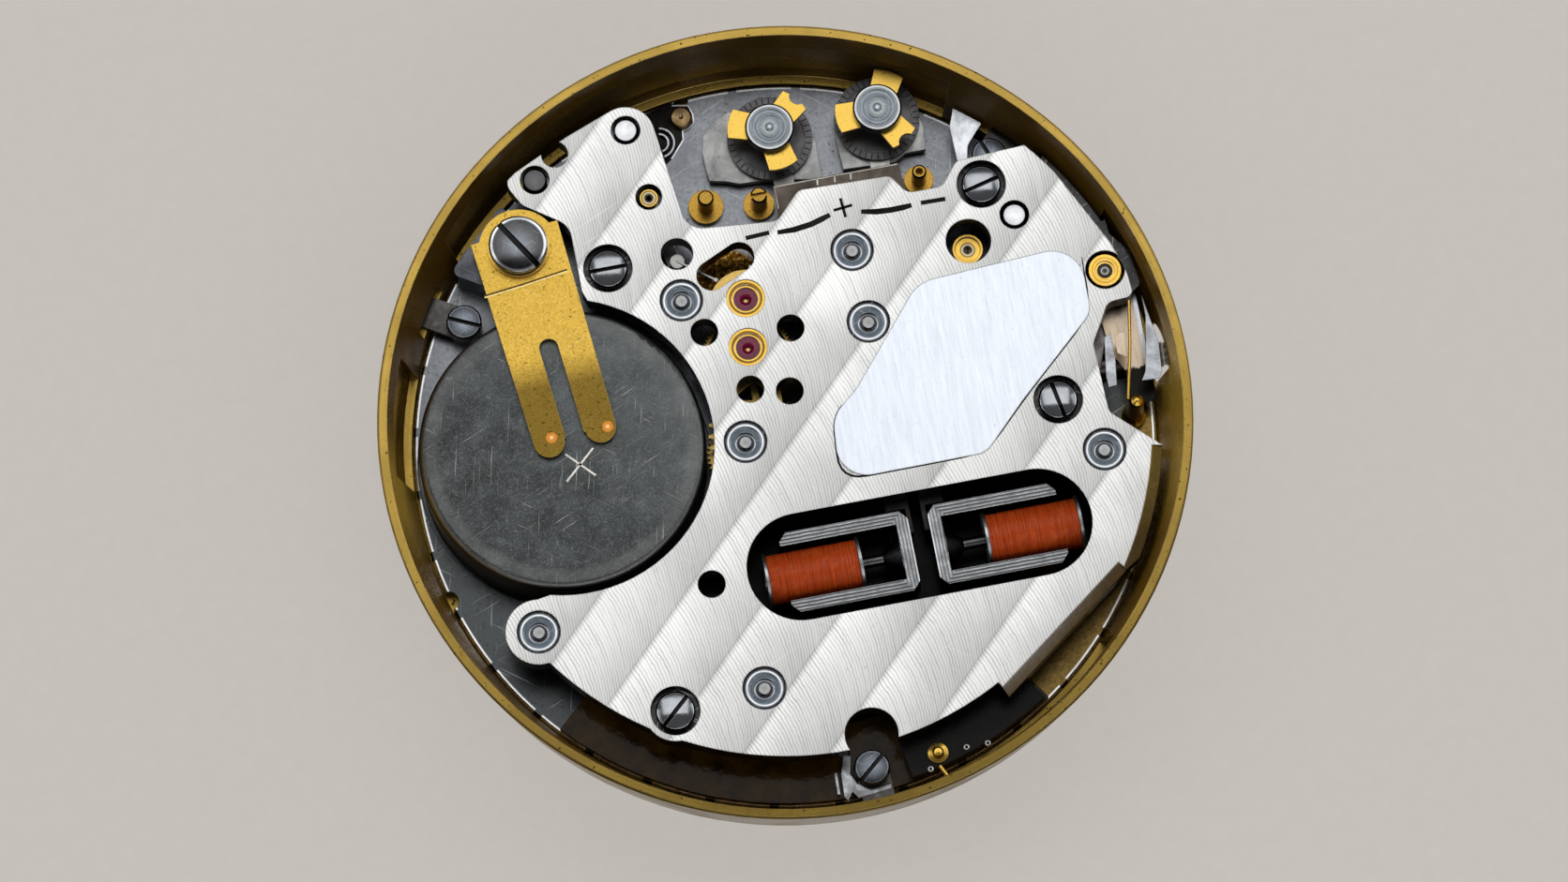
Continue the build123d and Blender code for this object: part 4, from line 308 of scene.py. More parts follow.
class Skin(Graph):
    """The graph of one new material, with its shader and the place on the piece in millimetres."""

    def __init__(self, name, metallic=1.0, **sockets):
        self.material = bpy.data.materials.new(name)
        self.material.use_nodes = True
        super().__init__(self.material.node_tree)
        self.tree.nodes.clear()
        self.shader = self.add("ShaderNodeBsdfPrincipled")
        self.shader.inputs["Metallic"].default_value = metallic
        for label, value in sockets.items():
            self.shader.inputs[label.replace("_", " ")].default_value = value
        self.surface = self.add("ShaderNodeOutputMaterial").inputs["Surface"]
        self.put(self.surface, self.shader.outputs[0])
        self.mm = self.vector("SCALE", self.add("ShaderNodeTexCoord").outputs["Object"], scale=1 / MM)

    def soft(self, radius):
        """Normal with its edges rounded by a small radius, as a broken edge catches the light."""
        node = self.add("ShaderNodeBevel", samples=4)
        node.inputs["Radius"].default_value = radius * MM
        return node.outputs[0]

    def edge(self, radius):
        """How near a point is to an edge, from 0 to 1."""
        flat = self.add("ShaderNodeNewGeometry").outputs["Normal"]
        return self.remap(self.vector("DOT_PRODUCT", self.soft(radius), flat), 0.995, 0.8)

    def face_normal(self):
        return self.add("ShaderNodeNewGeometry").outputs["True Normal"]

    def level(self, low, high):
        """From 0 to 1 as a face's slope goes from one share of upright to another."""
        return self.remap(self.math("ABSOLUTE", self.split(self.face_normal())[2]), low, high)

    def facing_up(self):
        """1 on faces that look along Z, 0 on upright walls."""
        return self.level(0.6, 0.9)

    def walls(self):
        """1 on upright walls, 0 on faces that look along Z."""
        return self.minus(1.0, self.facing_up())

    def nearest(self, *axes):
        """Distance in the plane from the closest of several upright axes."""
        flat = self.vector("MULTIPLY", self.mm, (1.0, 1.0, 0.0))
        best = None
        for x, y in axes:
            here = self.vector("DISTANCE", flat, (x, y, 0.0))
            best = here if best is None else self.math("MINIMUM", best, here)
        return best

    def marks(self, scale):
        """Outputs of the handling marks at a scale."""
        return self.group(handling, Vector=self.mm, Scale=scale)

    def rising(self, mask, low, step):
        """A number that a mask raises from low by a step."""
        return self.remap(mask, 0.0, 1.0, low, low + step)

    def close(self, colour, roughness=None, normal=None):
        """Plugs in the shader's colour, roughness and normal; returns the material."""
        for label, value in (("Base Color", colour), ("Roughness", roughness), ("Normal", normal)):
            self.put(self.shader.inputs[label], value)
        return self.material


def bridge_finish(name, colour, band, pitch, field_z):
    """Nickel with bowed stripes on top that carry a painted sheen, plain satin on the raised field, walls and lower
    faces painted near black as shade, and edges brightened as painted highlights.
    """
    g = Skin(name)
    stripes = g.group(striping, Vector=g.mm, Band=band, Pitch=pitch)
    hair = g.group(hairlines, Vector=g.vector("MULTIPLY", g.mm, (1.6, 0.12, 1.0)), Scale=5.0)["Lines"]
    marks = g.marks(0.8)
    top = g.facing_up()
    z = g.split(g.mm)[2]
    field = g.times(g.math("GREATER_THAN", z, field_z), top)
    high = g.times(g.math("GREATER_THAN", z, field_z - 0.06), top)
    shade = g.times(g.remap(stripes["Tone"], 0.0, 1.0, 0.78, 1.06), g.remap(stripes["Lines"], 0.0, 0.8, 1.06, 0.72))
    shade = g.plus(shade, g.times(stripes["Seam"], -0.12))
    shade = g.times(shade, g.remap(g.noise(g.mm, 0.22, 2.0), 0.35, 0.65, 0.88, 1.08))
    plain = g.tint((0.76, 0.81, 0.88), g.remap(hair, 0.3, 0.7, 0.84, 1.06))
    slope = g.times(g.level(0.97, 0.9), g.times(top, g.math("LESS_THAN", z, field_z - 0.03)))
    # Painted shade: walls and lower faces near black, the slope a darker grey.
    low = g.layers(
        g.ramp(marks["Blotch"], [(0.0, (0.05, 0.05, 0.052)), (1.0, (0.02, 0.018, 0.016))]),
        (slope, g.tint((0.46, 0.48, 0.51), g.remap(hair, 0.3, 0.7, 0.75, 1.15))),
    )
    body = g.layers(
        g.mix(high, low, g.mix(field, g.tint(colour, shade), plain)),
        (marks["Pits"], (0.3, 0.28, 0.24), 0.25),
        (marks["Scratch"], (0.9, 0.9, 0.9), 0.3),
        # Painted highlight: edges pale on the top, mid grey below.
        (g.edge(0.07), g.mix(high, (0.34, 0.34, 0.34), (0.95, 0.95, 0.94)), 0.9),
    )
    striped = g.remap(stripes["Tone"], 0.0, 1.0, 0.4, 0.3)
    rough = g.remap(high, 0.0, 1.0, 0.25, g.remap(field, 0.0, 1.0, striped, 0.33))
    relief = g.plus(g.times(stripes["Lines"], g.minus(high, field)), g.times(g.times(hair, field), 0.5))
    return g.close(body, rough, g.bump(relief, 0.6, 0.008, g.soft(0.06)))


def plate_finish(name, colour, top, coils, slot):
    """Nickelled plate: bluish to the north, painted shade towards the south, browned south-east, a lip and edges
    brightened as painted highlights, painted black shade under the coils, and painted shade with amber glints under
    the kidney slot.
    """
    g = Skin(name)
    x, y, z = g.split(g.mm)
    marks = g.marks(0.9)
    grain = g.noise(g.mm, 7.0, 4.0, 0.7)
    cloud = g.noise(g.mm, 0.5, 4.0, 0.65, 0.4)
    nickel = g.layers(
        g.tint(colour, g.remap(cloud, 0.35, 0.65, 0.62, 1.2)),
        (g.remap(grain, 0.4, 0.62, 0.0, 0.45), rgba(colour, 0.45)),
    )
    brown = g.remap(g.vector("DOT_PRODUCT", g.mm, (0.78, -0.62, 0.0)), 11.2, 12.4)
    notch = g.math("GREATER_THAN", g.math("SINE", g.times(g.math("ARCTAN2", y, x), 36.0)), -0.9)
    outside = g.remap(g.vector("LENGTH", g.join(x, y)), FLANGE_R, FLANGE_R + 0.05)
    lip = g.times(g.times(outside, g.remap(z, top - 0.3, top - 0.2)), notch)
    aside = g.math(
        "MAXIMUM", g.minus(g.math("ABSOLUTE", g.minus(x, coils[0])), COIL_REACH),
        g.math("ABSOLUTE", g.minus(y, coils[1])),
    )
    upper = g.math("GREATER_THAN", z, top - 1.5)
    # Painted shade with amber glints, for the dark wheel seen through the kidney slot.
    amber = g.ramp(g.remap(grain, 0.35, 0.65), [
        (0.0, (0.02, 0.008, 0.001)), (0.6, (0.16, 0.07, 0.008)), (1.0, (0.6, 0.36, 0.09)),
    ])
    body = g.layers(
        g.tint(nickel, 0.72),
        # Painted shade: darker towards the south.
        (g.remap(y, 7.0, -1.0, 0.0, 0.84), (0.04, 0.045, 0.045)),
        (marks["Pits"], (0.03, 0.028, 0.025), 0.6),
        (marks["Scratch"], (0.6, 0.62, 0.64), 0.35),
        (brown, g.tint((0.19, 0.12, 0.03), g.remap(grain, 0.3, 0.7, 0.5, 1.3)), 0.9),
        # Painted highlight on the edges.
        (g.edge(0.05), (0.72, 0.74, 0.76), 0.75),
        # Painted highlight: the notched lip outside the flange radius.
        (lip, (0.82, 0.83, 0.84)),
        # Painted shade: black under the coils.
        (g.times(upper, g.remap(aside, 2.6, 2.3)), (0.006, 0.006, 0.006)),
        # Painted shade with amber glints under the kidney slot.
        (g.times(upper, g.remap(g.nearest(slot), 1.6, 1.4)), amber),
    )
    relief = g.plus(grain, g.times(marks["Pits"], -1.5))
    return g.close(body, g.remap(cloud, 0.3, 0.7, 0.22, 0.36), g.bump(relief, 0.35, 0.006, g.soft(0.04)))


def head_finish(name, centres, radius, bands, roughness, crown, shade_z, blued=None):
    """Polished round head: tones in rings about its axis that hold painted highlight and painted shade rings, a
    faint crown, fine turning, edges brightened as painted highlights, painted shade below a level.
    """
    g = Skin(name)
    away = g.nearest(*centres)
    rings = g.group(turning, Vector=g.mm, Distance=away, Pitch=0.045)
    marks = g.marks(2.2)
    body = g.layers(
        g.tint(g.ramp(g.math("DIVIDE", away, radius), bands), g.rising(rings["Shade"], 0.8, 0.3)),
        (marks["Blotch"], 0.6, 0.3),
        (marks["Scratch"], (0.75, 0.75, 0.76), 0.3),
        # Painted highlight on the edges.
        (g.edge(0.035), (0.86, 0.86, 0.87), 0.8),
    )
    if blued:
        body = g.layers(body, (g.remap(g.nearest(blued), radius * 1.5, radius * 1.4), 0.16))
    # Painted shade: slot floors and head sides go near black below this level.
    body = g.layers(body, (g.remap(g.split(g.mm)[2], shade_z, shade_z - 0.03), (0.012, 0.012, 0.013)))
    domed = g.bump(g.times(g.times(away, away), -crown), 1.0, 1.0, g.soft(0.03))
    turned = g.bump(g.times(rings["Rings"], g.facing_up()), 0.12, 0.004, domed)
    return g.close(body, g.rising(marks["Blotch"], roughness, 0.1), turned)


def cup_finish(name, low, high, closed):
    """Satin iron with lines that run round the cup's wall, from its corners and the side that is closed, a painted
    highlight along the rim, walls painted near black as shade, and edges brightened as painted highlights.
    """
    g = Skin(name)
    x, y, _ = g.split(g.mm)
    marks = g.marks(2.4)
    side = g.math("MINIMUM", g.minus(y, low[1]), g.minus(high[1], y))
    end = g.minus(high[0], x) if closed > 0 else g.minus(x, low[0])
    inset = g.math("MINIMUM", side, end)
    wave = g.math("SINE", g.times(g.plus(inset, g.times(g.noise(g.mm, 2.0), 0.05)), 44.0))
    body = g.layers(
        g.ramp(g.math("MULTIPLY_ADD", wave, 0.5, 0.5), [
            (0.0, (0.16, 0.165, 0.17)), (0.6, (0.26, 0.27, 0.28)), (1.0, (0.42, 0.43, 0.44)),
        ]),
        (marks["Blotch"], (0.1, 0.105, 0.11), 0.45),
        # Painted highlight along the rim.
        (g.remap(inset, 0.07, 0.03), (0.7, 0.71, 0.72)),
        # Painted shade on the walls.
        (g.walls(), (0.02, 0.02, 0.021)),
        # Painted highlight on the edges.
        (g.edge(0.04), (0.8, 0.81, 0.82), 0.9),
    )
    return g.close(body, g.rising(marks["Blotch"], 0.22, 0.18), g.bump(wave, 0.4, 0.012, g.soft(0.04)))


def cover_finish(name, east_x, foot_y, stud):
    """Bright steel cover: a pale painted reflection to the east, a warm painted reflection of the ring, black at
    its foot, walls painted near black as shade, with a stud ringed by a painted highlight.
    """
    g = Skin(name)
    x, y, _ = g.split(g.mm)
    marks = g.marks(2.0)
    painted_ring_reflection = g.remap(g.noise(g.vector("MULTIPLY", g.mm, (4.0, 0.5, 1.0)), 1.0, 3.0), 0.35, 0.65)
    foot = g.plus(y, g.times(g.noise(g.mm, 4.0), 0.4))
    away = g.nearest(stud)
    turned = g.ramp(g.math("DIVIDE", away, 0.5), [
        (0.0, (0.02,) * 3), (0.2, (0.1, 0.1, 0.09)), (0.28, (0.45, 0.42, 0.36)), (0.36, (0.04,) * 3),
        (1.0, (0.02,) * 3),
    ])
    body = g.layers(
        # Painted reflections: the ring's warm colour, and pale steel to the east.
        g.ramp(painted_ring_reflection, [(0.0, (0.34, 0.26, 0.18)), (1.0, (0.62, 0.51, 0.4))]),
        (g.remap(x, east_x - 0.04, east_x + 0.04), (0.62, 0.65, 0.69)),
        (g.remap(foot, foot_y + 0.24, foot_y + 0.16), (0.012, 0.011, 0.01)),
        (marks["Pits"], (0.05, 0.045, 0.04), 0.8),
        # Painted highlight ring on the stud.
        (g.remap(away, 0.5, 0.48), turned),
        # Painted shade on the walls.
        (g.walls(), (0.03, 0.028, 0.025)),
    )
    return g.close(body, g.rising(painted_ring_reflection, 0.2, 0.14), g.bump(marks["Pits"], -0.5, 0.01, g.soft(0.03)))


def worn_edge_lit_metal(
    name, colour, dark, roughness, edge=0.6, scale=1.0, grain=0.3, bevel=0.04, edge_highlight_lift=0.8, shade=None, metallic=1.0
):
    """Satin metal with blotches, pits, fine scratches, edges brightened as part wear and part painted highlight,
    and painted shade that turns it black past a range of Y.
    """
    g = Skin(name, metallic)
    marks = g.marks(scale)
    body = g.layers(
        colour,
        (marks["Blotch"], dark, 0.75),
        (marks["Pits"], rgba(dark, 0.5), 0.5),
        (marks["Scratch"], rgba(colour, 1.25), 0.25),
        # Edges brightened: part wear, part painted highlight.
        (g.edge(bevel), tuple(min(1.0, c * (1 + edge_highlight_lift)) for c in colour), edge),
    )
    # Painted shade past a range of Y.
    if shade:
        body = g.layers(body, (g.remap(g.split(g.mm)[1], *shade), 0.05))
    rough = g.plus(g.rising(marks["Blotch"], roughness, 0.15), g.times(marks["Scratch"], -0.1))
    relief = g.plus(g.noise(g.mm, 38.0 * scale, 3.0, 0.7), g.times(marks["Pits"], -1.5))
    return g.close(body, rough, g.bump(relief, grain, 0.004, g.soft(bevel)))


def turned_metal(name, colour, dark, roughness, centres):
    """Metal turned about one or more upright axes, with lathe rings on its flat faces and edges brightened as
    painted highlights.
    """
    g = Skin(name)
    rings = g.group(turning, Vector=g.mm, Distance=g.nearest(*centres), Pitch=0.06)
    marks = g.marks(2.0)
    body = g.layers(
        colour,
        (rings["Shade"], dark, 0.6),
        (marks["Blotch"], dark, 0.3),
        # Painted highlight on the edges.
        (g.edge(0.03), (0.88, 0.88, 0.88), 0.7),
    )
    relief = g.times(rings["Rings"], g.facing_up())
    return g.close(body, g.rising(marks["Blotch"], roughness, 0.12), g.bump(relief, 0.4, 0.006, g.soft(0.03)))


def ring_finish(name, colour, dark, top):
    """Old brass turned round the ring's axis: gold rim, dark brown bore in painted shade to the north, painted
    light in arcs to the east and west, outside in painted shade towards the south, edges brightened as painted
    highlights, spots.
    """
    g = Skin(name)
    x, y, z = g.split(g.mm)
    radius = g.vector("LENGTH", g.join(x, y))
    angle = g.math("ARCTAN2", y, x)
    streak = g.noise(g.join(g.times(angle, 1.2), g.times(z, 9.0), g.times(radius, 9.0)), 1.6, 5.0, 0.7)
    spots = g.remap(g.noise(g.mm, 5.5, 2.0, 0.5), 0.66, 0.72)
    swirl = g.remap(g.noise(g.mm, 2.6, 2.0, 0.5, 2.5), 0.5, 0.62)
    stain = g.remap(g.noise(g.mm, 0.35, 4.0, 0.6, 0.5), 0.4, 0.6)
    # Painted light: the bore lit in arcs to the east and west.
    east = g.remap(g.math("ABSOLUTE", g.plus(angle, 0.18)), 0.3, 0.16)
    west = g.remap(g.minus(math.pi, g.math("ABSOLUTE", angle)), 0.2, 0.05)
    lit = g.math("MAXIMUM", east, west)
    inner = g.layers(
        (0.3, 0.15, 0.012),
        (g.remap(streak, 0.3, 0.7), (0.6, 0.32, 0.03)),
        (stain, (0.16, 0.08, 0.008), 0.45),
    )
    # Painted light: the lit copy of the brass for those arcs.
    bright = g.layers(
        (1.0, 0.62, 0.08),
        (g.remap(streak, 0.3, 0.7, 0.0, 0.5), (0.62, 0.34, 0.03)),
        (swirl, (1.0, 0.74, 0.22), 0.4),
    )
    # Painted shade: the bore darker to the north, except in the lit arcs.
    shade = g.remap(lit, 0.0, 1.0, g.remap(y, 12.0, -6.0, 0.2, 0.9), 0.85)
    outer = g.mix(g.remap(streak, 0.3, 0.7, 0.0, 0.5), rgba(colour, 1.25), rgba(colour, 0.7))
    # Painted shade: the outside darker towards the south.
    outer = g.tint(outer, g.remap(y, -16.0, 4.0, 0.45, 1.1))
    outward = g.vector("DOT_PRODUCT", g.face_normal(), g.vector("NORMALIZE", g.join(x, y)))
    skin = g.math("MAXIMUM", g.remap(z, top - 0.02, top - 0.01), g.remap(outward, -0.3, -0.1))
    g.put(g.shader.inputs["Metallic"], g.remap(skin, 0.0, 1.0, 0.35, 1.0))
    body = g.layers(
        g.tint(g.mix(lit, inner, bright), shade),
        (skin, outer),
        (spots, rgba(dark, 0.15), 0.75),
        # Painted highlight on the edges.
        (g.edge(0.05), (0.8, 0.6, 0.24), 0.75),
    )
    relief = g.plus(streak, g.times(spots, -0.8))
    rough = g.plus(g.remap(stain, 0.0, 1.0, 0.24, 0.36), g.times(spots, 0.2))
    return g.close(body, rough, g.bump(relief, 0.5, 0.012, g.soft(0.06)))


def gilt_finish(name, colour, dark, roughness, grain=0.6, scale=1.0, shaded=None, glint_dots=()):
    """Gilt brass with a speckled grain, edges brightened as part wear and part painted highlight, painted shade
    past a range of Y, and copper-red dots each with a painted glint at its centre.
    """
    g = Skin(name)
    marks = g.marks(0.7 * scale)
    speck = g.noise(g.mm, 13.0 * scale, 4.0, 0.75)
    pits = g.remap(g.noise(g.mm, 7.0 * scale, 2.0), 0.64, 0.7)
    body = g.layers(
        colour,
        (g.remap(speck, 0.36, 0.66, 0.0, 0.55), dark),
        (marks["Blotch"], dark, 0.22),
        (pits, rgba(dark, 0.4), 0.5),
        (marks["Scratch"], (0.95, 0.78, 0.4), 0.2),
    )
    # Painted shade past a range of Y.
    if shaded:
        body = g.layers(body, (g.remap(g.split(g.mm)[1], *shaded, 0.0, 0.85), 0.2))
    # Each dot: a copper-red ring with a painted glint at its centre.
    for dot in glint_dots:
        away = g.nearest(dot)
        body = g.layers(
            body,
            (g.remap(away, 0.24, 0.2), (0.62, 0.24, 0.04)),
            (g.remap(away, 0.1, 0.06), (0.95, 0.62, 0.3), 0.8),
        )
    # Edges brightened: part wear, part painted highlight.
    body = g.layers(body, (g.edge(0.035), (0.96, 0.78, 0.38), 0.7))
    relief = g.plus(speck, g.times(pits, -0.8))
    rough = g.remap(speck, 0.3, 0.7, roughness, roughness + 0.14)
    return g.close(body, rough, g.bump(relief, grain, 0.006, g.soft(0.035)))


def ruby_finish(name, colour):
    """Clear red stone with a polished face and faint flecks."""
    g = Skin(
        name, 0.0, Roughness=0.1, Coat_Weight=0.05, Specular_IOR_Level=0.2, Transmission_Weight=0.05, IOR=1.76
    )
    return g.close(g.mix(g.remap(g.noise(g.mm, 9.0, 3.0), 0.4, 0.7), colour, rgba(colour, 0.45)))


def wire_finish(name, colour, dark):
    """Enamelled copper wire: sheen that runs round the coil, with darker and brighter turns."""
    g = Skin(name, 0.0, Roughness=0.32, Coat_Weight=0.08, Specular_IOR_Level=0.25)
    x, y, _ = g.split(g.mm)
    turns = g.noise(g.join(g.times(x, 14.0), g.times(y, 0.35)), 1.0, 3.0, 0.7)
    body = g.layers(
        dark,
        (g.remap(turns, 0.32, 0.68), colour),
        (g.remap(g.noise(g.mm, 3.0, 3.0), 0.55, 0.75, 0.0, 0.35), (0.9, 0.26, 0.08)),
    )
    g.put(g.shader.inputs["Metallic"], g.remap(turns, 0.5, 0.7, 0.0, 0.35))
    return g.close(body, normal=g.bump(turns, 0.3, 0.01))


def resin_finish(name, colour, fleck, roughness):
    """Poured resin: glossy skin with slow waves and dust."""
    g = Skin(name, 0.0, Specular_IOR_Level=0.12)
    slow = g.noise(g.mm, 1.2, 3.0)
    dust = g.remap(g.noise(g.mm, 24.0, 2.0), 0.66, 0.74)
    body = g.layers(colour, (g.remap(slow, 0.35, 0.7), fleck), (dust, (0.12, 0.1, 0.07), 0.35))
    return g.close(body, g.math("MULTIPLY_ADD", dust, 0.25, roughness), g.bump(slow, 0.5, 0.05, g.soft(0.05)))


def cell_finish(name, colour, dark, centre):
    """Dull nickelled can: clouded grey face lightened towards the north-east as painted light, rub marks, brighter
    rolled edge, walls painted dark as shade.
    """
    g = Skin(name)
    marks = g.marks(1.1)
    cloud = g.remap(g.noise(g.mm, 0.8, 6.0, 0.7, 0.3), 0.3, 0.72)
    speck = g.remap(g.noise(g.mm, 16.0, 3.0, 0.6), 0.56, 0.68)
    worm = g.remap(g.noise(g.mm, 9.0, 2.0, 0.5, 1.5), 0.54, 0.62)
    away = g.nearest(centre)
    toward_light = g.vector("DOT_PRODUCT", g.vector("SUBTRACT", g.mm, (*centre, 0.0)), (0.8, 0.6, 0.0))
    body = g.layers(
        colour,
        (cloud, dark),
        # Painted light: the face lighter towards the north-east.
        (g.remap(toward_light, -2.0, 5.0, 0.0, 0.5), rgba(colour, 1.9)),
        (worm, (0.22, 0.225, 0.22), 0.35),
        (speck, (0.32, 0.31, 0.29), 0.35),
        (marks["Scratch"], (0.45, 0.45, 0.43), 0.6),
        (g.times(g.remap(away, 4.9, 5.15), g.remap(away, 5.75, 5.4)), (0.2, 0.2, 0.195), 0.3),
        (g.remap(away, 5.55, 5.75, 0.0, 0.75), (0.55, 0.54, 0.52)),
        # Painted shade on the walls.
        (g.walls(), (0.05, 0.045, 0.04), 0.8),
    )
    rough = g.plus(g.remap(cloud, 0.0, 1.0, 0.34, 0.5), g.times(marks["Scratch"], -0.12))
    relief = g.plus(g.noise(g.mm, 11.0, 5.0, 0.7), g.times(marks["Scratch"], -0.6))
    return g.close(body, rough, g.bump(relief, 0.5, 0.012))


def floor_finish(name, colour):
    """Plain matt backdrop paper, evenly lit where it is seen."""
    g = Skin(name, 0.0, Roughness=0.9, Specular_IOR_Level=0.1)
    paper = g.tint(colour, g.remap(g.noise(g.mm, 1.5, 4.0, 0.6), 0.3, 0.7, 0.985, 1.015))
    glow = g.add("ShaderNodeEmission")
    g.put(glow.inputs["Color"], g.tint(paper, 0.82))
    path = g.add("ShaderNodeLightPath").outputs
    seen = g.math("MAXIMUM", path["Is Camera Ray"], path["Is Glossy Ray"])
    seen = g.math("MAXIMUM", seen, path["Is Transmission Ray"])
    both = g.add("ShaderNodeMixShader")
    for socket, value in zip(both.inputs, (g.times(seen, 0.72), g.shader.outputs[0], glow.outputs[0])):
        g.put(socket, value)
    g.put(g.surface, both.outputs[0])
    return g.close(paper)


# Meshes


def dress(material, *names):
    """Puts one material on every slot of the named frame pieces."""
    for name in names:
        mesh = NODES[name].data
        if not mesh.materials:
            mesh.materials.append(material)
        for i in range(len(mesh.materials)):
            mesh.materials[i] = material


def solid_boxes(name):
    """Lowest and highest corner, in millimetres, of each separate solid of a frame piece."""
    work = bmesh.new()
    work.from_mesh(NODES[name].data)
    bmesh.ops.remove_doubles(work, verts=work.verts, dist=1e-7)
    left = set(work.verts)
    boxes = []
    while left:
        queue = [left.pop()]
        found = [queue[0].co.copy()]
        while queue:
            for edge in queue.pop().link_edges:
                for vert in edge.verts:
                    if vert in left:
                        left.remove(vert)
                        queue.append(vert)
                        found.append(vert.co.copy())
        low = Vector([min(p[i] for p in found) for i in range(3)]) / MM
        high = Vector([max(p[i] for p in found) for i in range(3)]) / MM
        boxes.append((low, high))
    work.free()
    return boxes


def axes_of(name):
    """Upright axes of the solids of a turned frame piece, in millimetres, from west to east."""
    return sorted(((low.x + high.x) / 2, (low.y + high.y) / 2) for low, high in solid_boxes(name))


def settled(name, work, material, body):
    """Finishes a mesh made in millimetres: real scale, material and body."""
    bmesh.ops.scale(work, vec=(MM, MM, MM), verts=work.verts)
    bmesh.ops.recalc_face_normals(work, faces=work.faces)
    mesh = bpy.data.meshes.new(name)
    work.to_mesh(mesh)
    work.free()
    mesh.materials.append(material)
    piece = bpy.data.objects.new(name, mesh)
    bpy.context.scene.collection.objects.link(piece)
    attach(piece, body)
    return piece


def built(name, material, body, slot, *parts):
    """Makes one piece of parts, each given as a function that adds it and the function's values."""
    work = bmesh.new()
    for add, *values in parts:
        add(work, *values)
    return settled(name, work, material, body)


def loft(work, rows):
    """Joins rows of as many points each with faces and closes both ends."""
    for a, b in zip(rows, rows[1:]):
        for i in range(len(a)):
            j = (i + 1) % len(a)
            work.faces.new((a[i], a[j], b[j], b[i]))
    work.faces.new(rows[0])
    work.faces.new(rows[-1][::-1])


def run_at(points, i):
    """Direction of a line of points at one of them."""
    return (Vector(points[min(i + 1, len(points) - 1)]) - Vector(points[max(i - 1, 0)])).normalized()


def ribbon(work, points, width, low, high, taper=1.0):
    """Adds a flat bar along a line of points, between two levels."""
    rows = []
    for i, point in enumerate(points):
        run = run_at(points, i)
        half = width / 2 * (taper if i in (0, len(points) - 1) else 1.0)
        aside = Vector((-run.y, run.x)) * half
        left, right = Vector(point) + aside, Vector(point) - aside
        rows.append([
            work.verts.new((p.x, p.y, z)) for p, z in ((left, low), (right, low), (right, high), (left, high))
        ])
    loft(work, rows)


def outline(work, points, low, high):
    """Adds a flat plate with a traced outline, between two levels."""
    loft(work, [[work.verts.new((x, y, z)) for x, y in points] for z in (low, high)])


def rod(work, points, radius, sides=10):
    """Adds a round wire along a line of points."""
    turns = [2 * math.pi * k / sides for k in range(sides)]
    rows = []
    for i, point in enumerate(points):
        run = run_at(points, i)
        aside = run.cross(Vector((0.0, 0.0, 1.0))).normalized()
        over = aside.cross(run)
        rows.append([
            work.verts.new(Vector(point) + (aside * math.cos(t) + over * math.sin(t)) * radius) for t in turns
        ])
    loft(work, rows)


def turned_shape(work, profile, place, sides):
    """Adds a solid turned about an upright axis from (radius, level) pairs."""
    rows = []
    for radius, level in profile:
        rows.append([
            work.verts.new((
                place[0] + radius * math.cos(2 * math.pi * i / sides),
                place[1] + radius * math.sin(2 * math.pi * i / sides), level,
            ))
            for i in range(sides if radius else 1)
        ])
    for a, b in zip(rows, rows[1:]):
        for i in range(sides):
            j = (i + 1) % sides
            if len(a) == 1:
                work.faces.new((a[0], b[i], b[j]))
            elif len(b) == 1:
                work.faces.new((a[i], a[j], b[0]))
            else:
                work.faces.new((a[i], a[j], b[j], b[i]))


def welded(work):
    """Joins the first and the last row of turned shapes whose profile returns to its start."""
    bmesh.ops.remove_doubles(work, verts=work.verts, dist=1e-5)


def socket_named(tree, label):
    """Identifier of a Geometry Nodes input."""
    return next(
        item.identifier for item in tree.interface.items_tree
        if item.item_type == "SOCKET" and item.in_out == "INPUT" and item.name == label
    )


def grown(name, tree, values, material, body, place):
    """Runs a Geometry Nodes tree once and keeps its result as a plain mesh in real size."""
    holder = bpy.data.objects.new(name + "_source", bpy.data.meshes.new(name + "_source"))
    bpy.context.scene.collection.objects.link(holder)
    modifier = holder.modifiers.new("grow", "NODES")
    modifier.node_group = tree
    for label, value in {**values, "Material": material}.items():
        modifier[socket_named(tree, label)] = value
    graph = bpy.context.evaluated_depsgraph_get()
    mesh = bpy.data.meshes.new_from_object(holder.evaluated_get(graph))
    holder.modifiers.remove(modifier)
    bpy.data.objects.remove(holder)
    work = bmesh.new()
    work.from_mesh(mesh)
    bpy.data.meshes.remove(mesh)
    bmesh.ops.transform(work, matrix=place, verts=work.verts)
    piece = settled(name, work, material, body)
    for polygon in piece.data.polygons:
        polygon.use_smooth = True
    return piece


def growing_tree(name, inputs):
    """An empty Geometry Nodes tree with named inputs, a material among them."""
    inputs = [*inputs, ("Material", "NodeSocketMaterial", None)]
    return node_tree("GeometryNodeTree", name, inputs, ["Geometry"], "NodeSocketGeometry")


def painted(g, given, out, shape):
    """Ends a Geometry Nodes tree: real instances with the given material."""
    real = g.add("GeometryNodeRealizeInstances")
    g.put(real.inputs[0], shape)
    paint = g.add("GeometryNodeSetMaterial")
    g.put(paint.inputs["Geometry"], real.outputs[0])
    g.put(paint.inputs["Material"], given["Material"])
    g.put(out[0], paint.outputs[0])
    return g.tree


